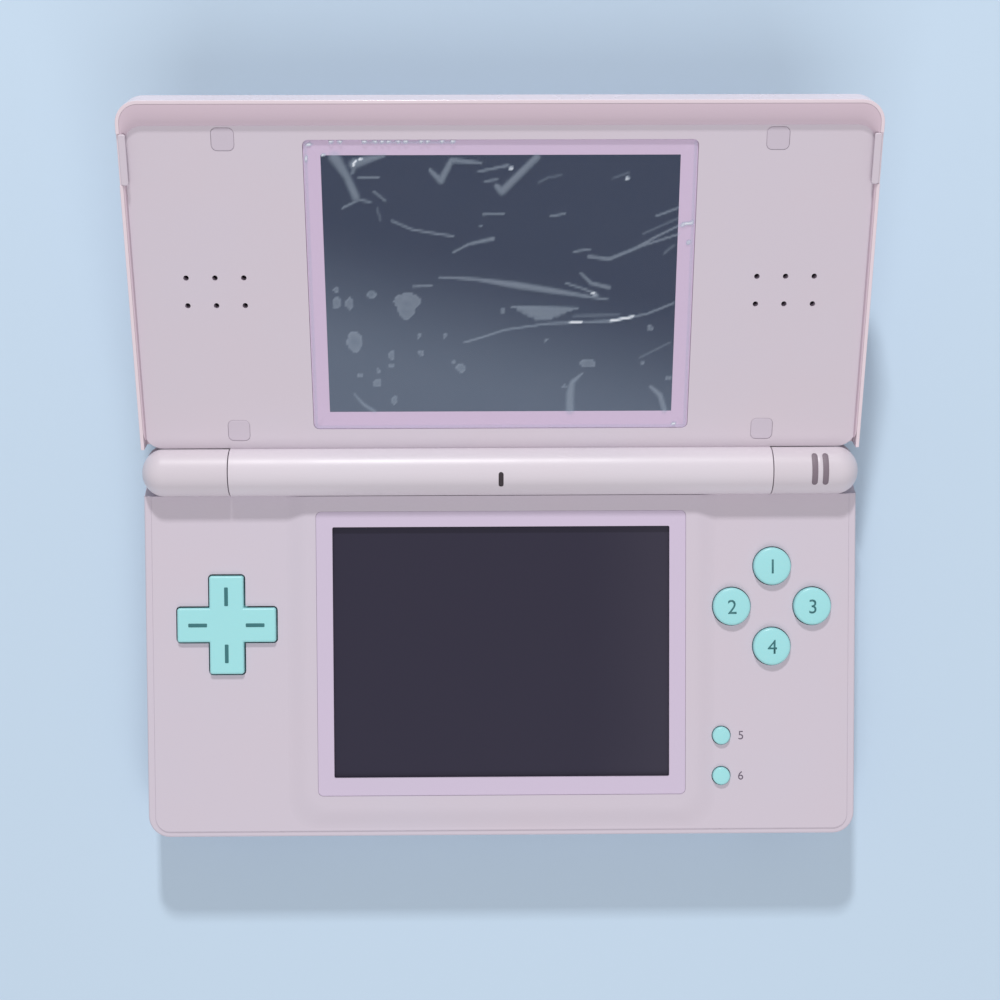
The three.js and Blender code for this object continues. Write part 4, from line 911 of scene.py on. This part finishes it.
def makeLidFittings():
    b = bumpers
    g = lugs
    for side, hand in ((-1, "left"), (1, "right")):
        for end in ("far", "near"):
            bm = bumperShape(side * b["x"], b[end], 0, b["bottom"], b["top"], b["edge"])
            piece(f"bumperPad_{end}_{hand}", bm, onLid, "lid", finish["rubber"],
                  [f"bumper_{end}_{hand}"], soften=0)
        span = sorted((side * g["inner"], side * g["outer"]))
        bm = slab(*span, g["near"], g["far"], g["bottom"], g["top"], g["corner"], g["edge"],
                  steps=4, rimSteps=3)
        piece(f"guideLug_{hand}", bm, onLid, "lid", finish["lidInside"],
              [f"guide_lug_{hand}"], soften=0)


makeLidFront()
makeLidBack()
makeUpperScreen()
makeLidFittings()
print("lid")


# Film over the upper screen: a thin sheet that lies on the lens, with creases and trapped air.
# Each crease is its strength and its points (x, y, width); each bubble is (x, y, half width, half height).
# The sparkle spots are painted highlights: bright glints along the film's far edge, where the film also
# rises. Creases of the kind "bright" are painted glints too.

film = {"half": 34.3, "near": 8.2, "far": 61.2, "under": -1.12, "thick": 0.03, "grid": 0.36,
        "sample": 0.22, "finest": 0.288, "sparkle": 0.468, "sparkleInset": 0.1}
# The tone "bright" whitens the film to stand in for a highlight: a painted glint.
filmTones = {"crease": 0.15, "faint": 0.07, "bright": 0.9, "bubble": 0.11}
filmLift = {"crease": 0.22, "bubble": 0.05, "sparkle": 0.42}
fading = {"crease": 1.6, "bubbleEdge": 1.35, "bubbleDip": 0.6, "bubbleRise": 3}
filmCreases = [
    ("crease", (-29.0, 58.3, 2.7), (-26.9, 54.8, 1.7), (-25.5, 51.3, 1.9)),
    ("crease", (-24.9, 50.8, 0.5), (-27.8, 49.4, 0.4)),
    ("crease", (-25.1, 50.8, 0.6), (-23, 50.4, 0.5)),
    ("crease", (-25.7, 57.0, 2.2), (-23.4, 57.8, 1.8), (-20.3, 58.5, 0.6)),
    ("crease", (-25.6, 57.6, 1.3), (-25.9, 55.4, 0.5)),
    ("bright", (-25.4, 57.6, 0.5), (-25.8, 56.8, 0.4)),
    ("bright", (-24.7, 57.9, 0.5), (-24.4, 57.9, 0.4)),
    ("crease", (-24.8, 54.7, 0.4), (-21.3, 54.7, 0.4)),
    ("crease", (-22.3, 52.3, 0.4), (-20.4, 50.6, 0.4)),
    ("faint", (-21.8, 49.2, 0.5), (-21.2, 47, 0.5)),
    ("crease", (-2.8, 54, 0.5), (-0.7, 54.3, 0.4)),
    ("crease", (-3.1, 48.1, 0.4), (0.6, 48.3, 0.4)),
    ("crease", (-3.6, 46, 0.4), (-3.4, 46, 0.4)),
    ("crease", (8.9, 47.8, 0.4), (11.3, 48.2, 0.4)),
    ("crease", (13, 41.4, 0.5), (15.8, 41.8, 0.4)),
    ("crease", (-15.6, 35.1, 0.5), (-12.35, 35.2, 0.5)),
    ("crease", (-19.2, 47, 0.5), (-15.8, 45.5, 0.5), (-12.7, 44.9, 0.5), (-8.5, 44.25, 0.4)),
    ("crease", (-8.5, 41.3, 0.4), (-5.7, 42.8, 0.7), (-1.4, 43.75, 1.0)),
    ("crease", (-12.4, 56.0, 0.8), (-10.5, 54.1, 1.6), (-8.6, 57.7, 1.3), (-3.4, 57.2, 0.7)),
    ("crease", (-3.9, 55.7, 0.6), (1.3, 56.8, 0.7)),
    ("bright", (1.7, 56.3, 0.4), (1.9, 56.3, 0.4)),
    ("crease", (-0.8, 53.2, 1.1), (0.2, 52.2, 1.8), (6.3, 58.2, 1.6)),
    ("faint", (6.7, 53.8, 0.5), (8.4, 54.7, 0.5), (10.5, 55, 0.5)),
    ("faint", (19.7, 54.5, 0.5), (22.5, 55.5, 0.5)),
    ("bright", (22.1, 54.5, 0.4), (22.3, 54.5, 0.4)),
    ("crease", (-10.9, 36.8, 0.5), (-4.5, 36.4, 0.8), (2.7, 35.3, 1.7), (9.5, 34.2, 1.4),
     (19.1, 32.6, 0.5)),
    ("crease", (11.8, 35.6, 0.5), (14.8, 34.6, 0.5), (17.4, 33.5, 0.5)),
    ("bright", (16.5, 33.75, 0.5), (16.9, 33.6, 0.4)),
    ("crease", (14.3, 37.5, 0.5), (16.2, 35.6, 0.9), (19.4, 34.8, 1.0)),
    ("crease", (15.7, 40.5, 0.8), (19.3, 40, 0.9), (23.9, 41.9, 0.8), (27.5, 44, 0.6), (31.5, 46, 0.5),
     (34, 46.6, 0.5)),
    ("bright", (32.2, 46.2, 0.4), (33.9, 46.6, 0.4)),
    ("crease", (19.3, 39.9, 0.6), (25.1, 42.4, 0.6), (31.6, 44.5, 0.5)),
    ("faint", (25.3, 44.6, 0.4), (31.5, 47.4, 0.4)),
    ("crease", (27.6, 47.8, 0.5), (31.3, 49.2, 0.5)),
    ("faint", (29.2, 41.1, 0.7), (30.8, 42.5, 0.7)),
    ("crease", (-6.5, 24.7, 0.4), (-3.4, 25.6, 0.4), (0.7, 27, 0.5), (8.6, 28.15, 0.6), (15.8, 28.4, 0.7),
     (20.2, 28.6, 0.8), (24, 29.4, 0.6), (26.4, 29.9, 0.4), (31.2, 31.9, 0.4)),
    ("bright", (19.8, 28.6, 0.6), (24, 29.4, 0.5)),
    ("bright", (12.6, 28.4, 0.4), (14.5, 28.4, 0.4)),
    ("faint", (13.3, 29.5, 0.8), (21.3, 29.8, 0.8)),
    ("crease", (2.0, 31.25, 0.7), (13.9, 31.0, 0.6)),
    ("crease", (3.2, 30.85, 1.0), (12.6, 30.75, 1.0)),
    ("crease", (4.2, 30.3, 1.2), (11.4, 30.3, 1.2)),
    ("crease", (5.2, 29.75, 1.2), (10.3, 29.8, 1.2)),
    ("crease", (6.4, 29.2, 1.2), (9.0, 29.3, 1.2)),
    ("crease", (14.9, 18.7, 0.5), (13.1, 17, 1.3), (12.7, 14.7, 1.9), (12.75, 11.6, 2.0)),
    ("crease", (27.5, 16.1, 0.9), (29.3, 14.4, 1.3), (30.2, 11.5, 1.3)),
    ("faint", (25.4, 21.7, 0.4), (30.7, 24.5, 0.4)),
    ("crease", (-26.9, 14.9, 0.5), (-25.1, 12.8, 0.8), (-23.2, 11.5, 0.9)),
    ("bright", (-33.5, 60.5, 0.6), (-33.1, 60.6, 0.6)),
    ("bright", (-34, 58.2, 0.5), (-33.9, 57.8, 0.5)),
    ("bright", (-31.1, 58.6, 0.4), (-30.9, 58.6, 0.4)),
    ("bright", (31.8, 9, 0.5), (32.2, 9, 0.5)),
    ("bright", (33.3, 43, 0.4), (33.5, 43, 0.4)),
    ("crease", (-23.8, 60.8, 0.5), (-8.3, 60.8, 0.5)),
    ("crease", (-34.1, 60.9, 0.4), (-34.1, 8.4, 0.4), (34.1, 8.4, 0.4), (34.1, 60.9, 0.4)),
]
filmBubbles = [
    (-16.8, 32.4, 2.45, 1.5), (-17.0, 31.1, 1.6, 2.1), (-26.5, 24.8, 1.4, 2.0), (-29.5, 32.1, 0.75, 1.2),
    (-27.2, 32, 0.75, 1.1),
    (-23.2, 33.7, 0.8, 0.8), (-29.5, 34.6, 0.5, 0.5), (-14.8, 25.9, 0.45, 0.45), (-10.1, 25.9, 0.45, 0.45),
    (-14.5, 22.65, 0.55, 0.55), (-8.7, 21.1, 0.4, 0.4), (-7.3, 19.8, 0.85, 0.85), (-19.9, 22.3, 0.55, 0.95),
    (-19.9, 20.3, 0.65, 0.5), (-22.4, 19.3, 0.4, 0.5), (-25.6, 18.5, 0.5, 0.5), (-22.6, 17, 0.8, 0.8),
    (-19.5, 13.7, 0.6, 0.85), (15.9, 20.6, 1.5, 0.8), (25.8, 20.7, 0.45, 0.45), (30.7, 17.8, 0.45, 0.45),
    (27.1, 27.2, 0.6, 0.6), (11.7, 16.2, 0.4, 0.4), (0.3, 30.6, 0.4, 0.7), (8.1, 25, 0.4, 0.4),
]
paintedGlintSpots = (-29.5, -27.9, -23.7, -21.8, -20.6, -19.5, -17.8, -16.5, -13.8, -12.7, -10.2, -8.3)


def filmMarks():
    f = film
    marks = []
    for kind, *points in filmCreases:
        tone = filmTones[kind]
        for (ax, ay, aw), (bx, by, bw) in zip(points, points[1:]):
            count = max(2, math.ceil(math.dist((ax, ay), (bx, by)) / f["sample"]))
            for step in range(count + 1):
                t = step / count
                radius = max((aw + (bw - aw) * t) / 2, f["finest"])
                lift = filmLift["crease"] * min(1, radius)
                marks.append((ax + (bx - ax) * t, ay + (by - ay) * t, radius, tone, lift))
    # Painted highlights: glint spots along the film's far edge.
    for x in paintedGlintSpots:
        marks.append((x, f["far"] - f["sparkleInset"], f["sparkle"], filmTones["bright"],
                      filmLift["sparkle"]))
    return marks


def makeFilm():
    f = film
    columns = round(2 * f["half"] / f["grid"])
    rows = round((f["far"] - f["near"]) / f["grid"])
    bm = bmesh.new()
    bmesh.ops.create_grid(bm, x_segments=columns, y_segments=rows, size=0.5)
    bmesh.ops.scale(bm, vec=(2 * f["half"], f["far"] - f["near"], 1), verts=bm.verts[:])
    bmesh.ops.translate(bm, vec=(0, (f["far"] + f["near"]) / 2, f["under"]), verts=bm.verts[:])
    bm.verts.ensure_lookup_table()
    crease = bm.verts.layers.float.new("crease")
    tree = kdtree.KDTree(len(bm.verts))
    for vert in bm.verts:
        tree.insert(vert.co, vert.index)
    tree.balance()
    rise = {}

    def mark(index, tone, lift):
        bm.verts[index][crease] = max(bm.verts[index][crease], tone)
        rise[index] = max(rise.get(index, 0), lift)

    for x, y, radius, tone, lift in filmMarks():
        for spot, index, distance in tree.find_range((x, y, f["under"]), radius):
            share = 1 - distance / radius
            mark(index, tone * min(1, fading["crease"] * share), lift * share * (2 - share))
    for x, y, halfX, halfY in filmBubbles:
        for spot, index, distance in tree.find_range((x, y, f["under"]), max(halfX, halfY)):
            share = 1 - math.hypot((spot.x - x) / halfX, (spot.y - y) / halfY)
            if share > 0:
                mark(index, filmTones["bubble"] * (fading["bubbleEdge"] - share * fading["bubbleDip"]),
                     filmLift["bubble"] * min(1, fading["bubbleRise"] * share))
    for index, height in rise.items():
        bm.verts[index].co.z += height
    sheet = piece("screenFilm", bm, onLid, "lid", finish["clearFilm"], ["screen_film"],
                  soften=0)
    wall = sheet.modifiers.new("filmThickness", "SOLIDIFY")
    wall.thickness = f["thick"] * mm
    wall.offset = 1
    sheet.modifiers.move(1, 0)


makeFilm()
print("film")


# Everything else is a softened copy of its solid, or the solid itself where it is closed in.
# A copy's row is its solid, its body, its look, its slot and how far its edges are softened.

copies = {
    "lowerShell": ("base_tub", "base", "shell", "shell", 0.15),
    "batteryCover": ("battery_cover", "base", "shell", "shell", 0.12),
    "slotCover": ("slot_cover", "slot_cover", "shell", "shell", 0.15),
    "stylusPen": ("stylus", "stylus", "shell", "shell", 0.12),
    "powerSlider": ("power_slider", "power", "shell", "shell", 0.06),
    "volumeSlider": ("volume_slider", "volume", "shell", "shell", 0.06),
    **{f"shoulderButton_{hand}": (f"shoulder_button_{hand}", f"{hand}_shoulder", "shell", "shell", 0.35)
       for hand in ("left", "right")},
    "cardSlot": ("card_slot", "base", "dark", "dark_plastic", 0.1),
    "chargePort": ("charge_port", "base", "dark", "dark_plastic", 0.1),
    "headphoneSocket": ("headphone_jack", "base", "dark", "dark_plastic", 0.1),
    "microphoneInsert": ("microphone", "lid", "dark", "dark_plastic", 0.08),
    **{f"foot_{end}{hand.title()}": (f"foot_{end}_{hand}", "base", "footRubber", "soft_rubber", 0.15)
       for hand in ("left", "right") for end in ("front", "rear")},
    "coverScrew": ("battery_cover_screw", "base", "steel", "steel", 0.08),
    **{f"casingScrew_{k}": (f"casing_screw_{k}", "base", "steel", "steel", 0.08) for k in range(1, 5)},
}
for name, (node, body, look, slot, soften) in copies.items():
    softCopy(name, node, body, finish[look], soften)

plainNodes = {"steel": ["hinge_pin_left", "hinge_pin_right", "shoulder_pin_left", "shoulder_pin_right"],
              "battery": ["battery_pack"], "circuit": ["main_board"],
              "rubber": ["face_button_pad", "menu_button_pad", "dpad_pivot_pad"],
              "dark": ["touch_lcd", "upper_lcd", "speaker_left", "speaker_right", "cartridge_slot"]}
for look, names in plainNodes.items():
    for name in names:
        cadNodes[name].data.materials.clear()
        cadNodes[name].data.materials.append(finish[look])
print("remaining pieces")


# Stage: floor, light and camera, in metres. The fill lamp stays out of the glossy glass.

stage = {"floorHalf": 1.5, "floor": (0.53, 0.66, 0.79, 1), "floorRough": 0.8, "room": (1.0, 0.975, 1.0, 1),
         "roomLight": 0.37}
lamps = {
    "keyLight": {"place": (-0.055, 0.80, 0.552), "side": 0.07, "power": 5.7, "mirrored": True},
    "fillLight": {"place": (0.05, -0.62, 0.78), "side": 0.8, "power": 5.15, "mirrored": False},
}


def makeStage():
    bm = bmesh.new()
    bmesh.ops.create_grid(bm, x_segments=1, y_segments=1, size=stage["floorHalf"])
    floor = toObject(bm, "floor")
    material = bpy.data.materials.new("floorPaint")
    material.use_nodes = True
    shader = material.node_tree.nodes["Principled BSDF"]
    shader.inputs["Base Color"].default_value = stage["floor"]
    shader.inputs["Roughness"].default_value = stage["floorRough"]
    floor.data.materials.append(material)
    world = bpy.data.worlds.new("room")
    bpy.context.scene.world = world
    world.use_nodes = True
    background = world.node_tree.nodes["Background"]
    background.inputs["Color"].default_value = stage["room"]
    background.inputs["Strength"].default_value = stage["roomLight"]


def softLamp(name, look):
    light = bpy.data.lights.new(name, "AREA")
    light.shape = "RECTANGLE"
    light.size = look["side"]
    light.size_y = look["side"]
    light.energy = look["power"]
    lamp = bpy.data.objects.new(name, light)
    bpy.context.scene.collection.objects.link(lamp)
    lamp.location = look["place"]
    lamp.rotation_euler = (-Vector(look["place"])).to_track_quat("-Z", "Y").to_euler()
    lamp.visible_glossy = look["mirrored"]


# The camera fitted to the photograph: its lens in pixels, its turn in degrees, its place in millimetres.
cameraFit = {"pixels": 1759.1, "frame": 1000, "sensor": 36.0, "turn": (2.99, 0.66, 0.26),
             "offset": (0.15, 5.32, -327.41)}


def makeCamera():
    c = cameraFit
    data = bpy.data.cameras.new("camera")
    data.sensor_width = c["sensor"]
    data.lens = c["pixels"] / c["frame"] * c["sensor"]
    camera = bpy.data.objects.new("camera", data)
    bpy.context.scene.collection.objects.link(camera)
    turn = Euler([math.radians(a) for a in c["turn"]], "XYZ").to_matrix().to_4x4()
    seen = Matrix.Translation(Vector(c["offset"]) * mm) @ turn @ Matrix.Translation(-hingeAt)
    camera.matrix_world = seen.inverted()
    bpy.context.scene.camera = camera


makeStage()
for name, look in lamps.items():
    softLamp(name, look)
makeCamera()
bpy.context.scene.view_settings.view_transform = "Standard"
print("stage")
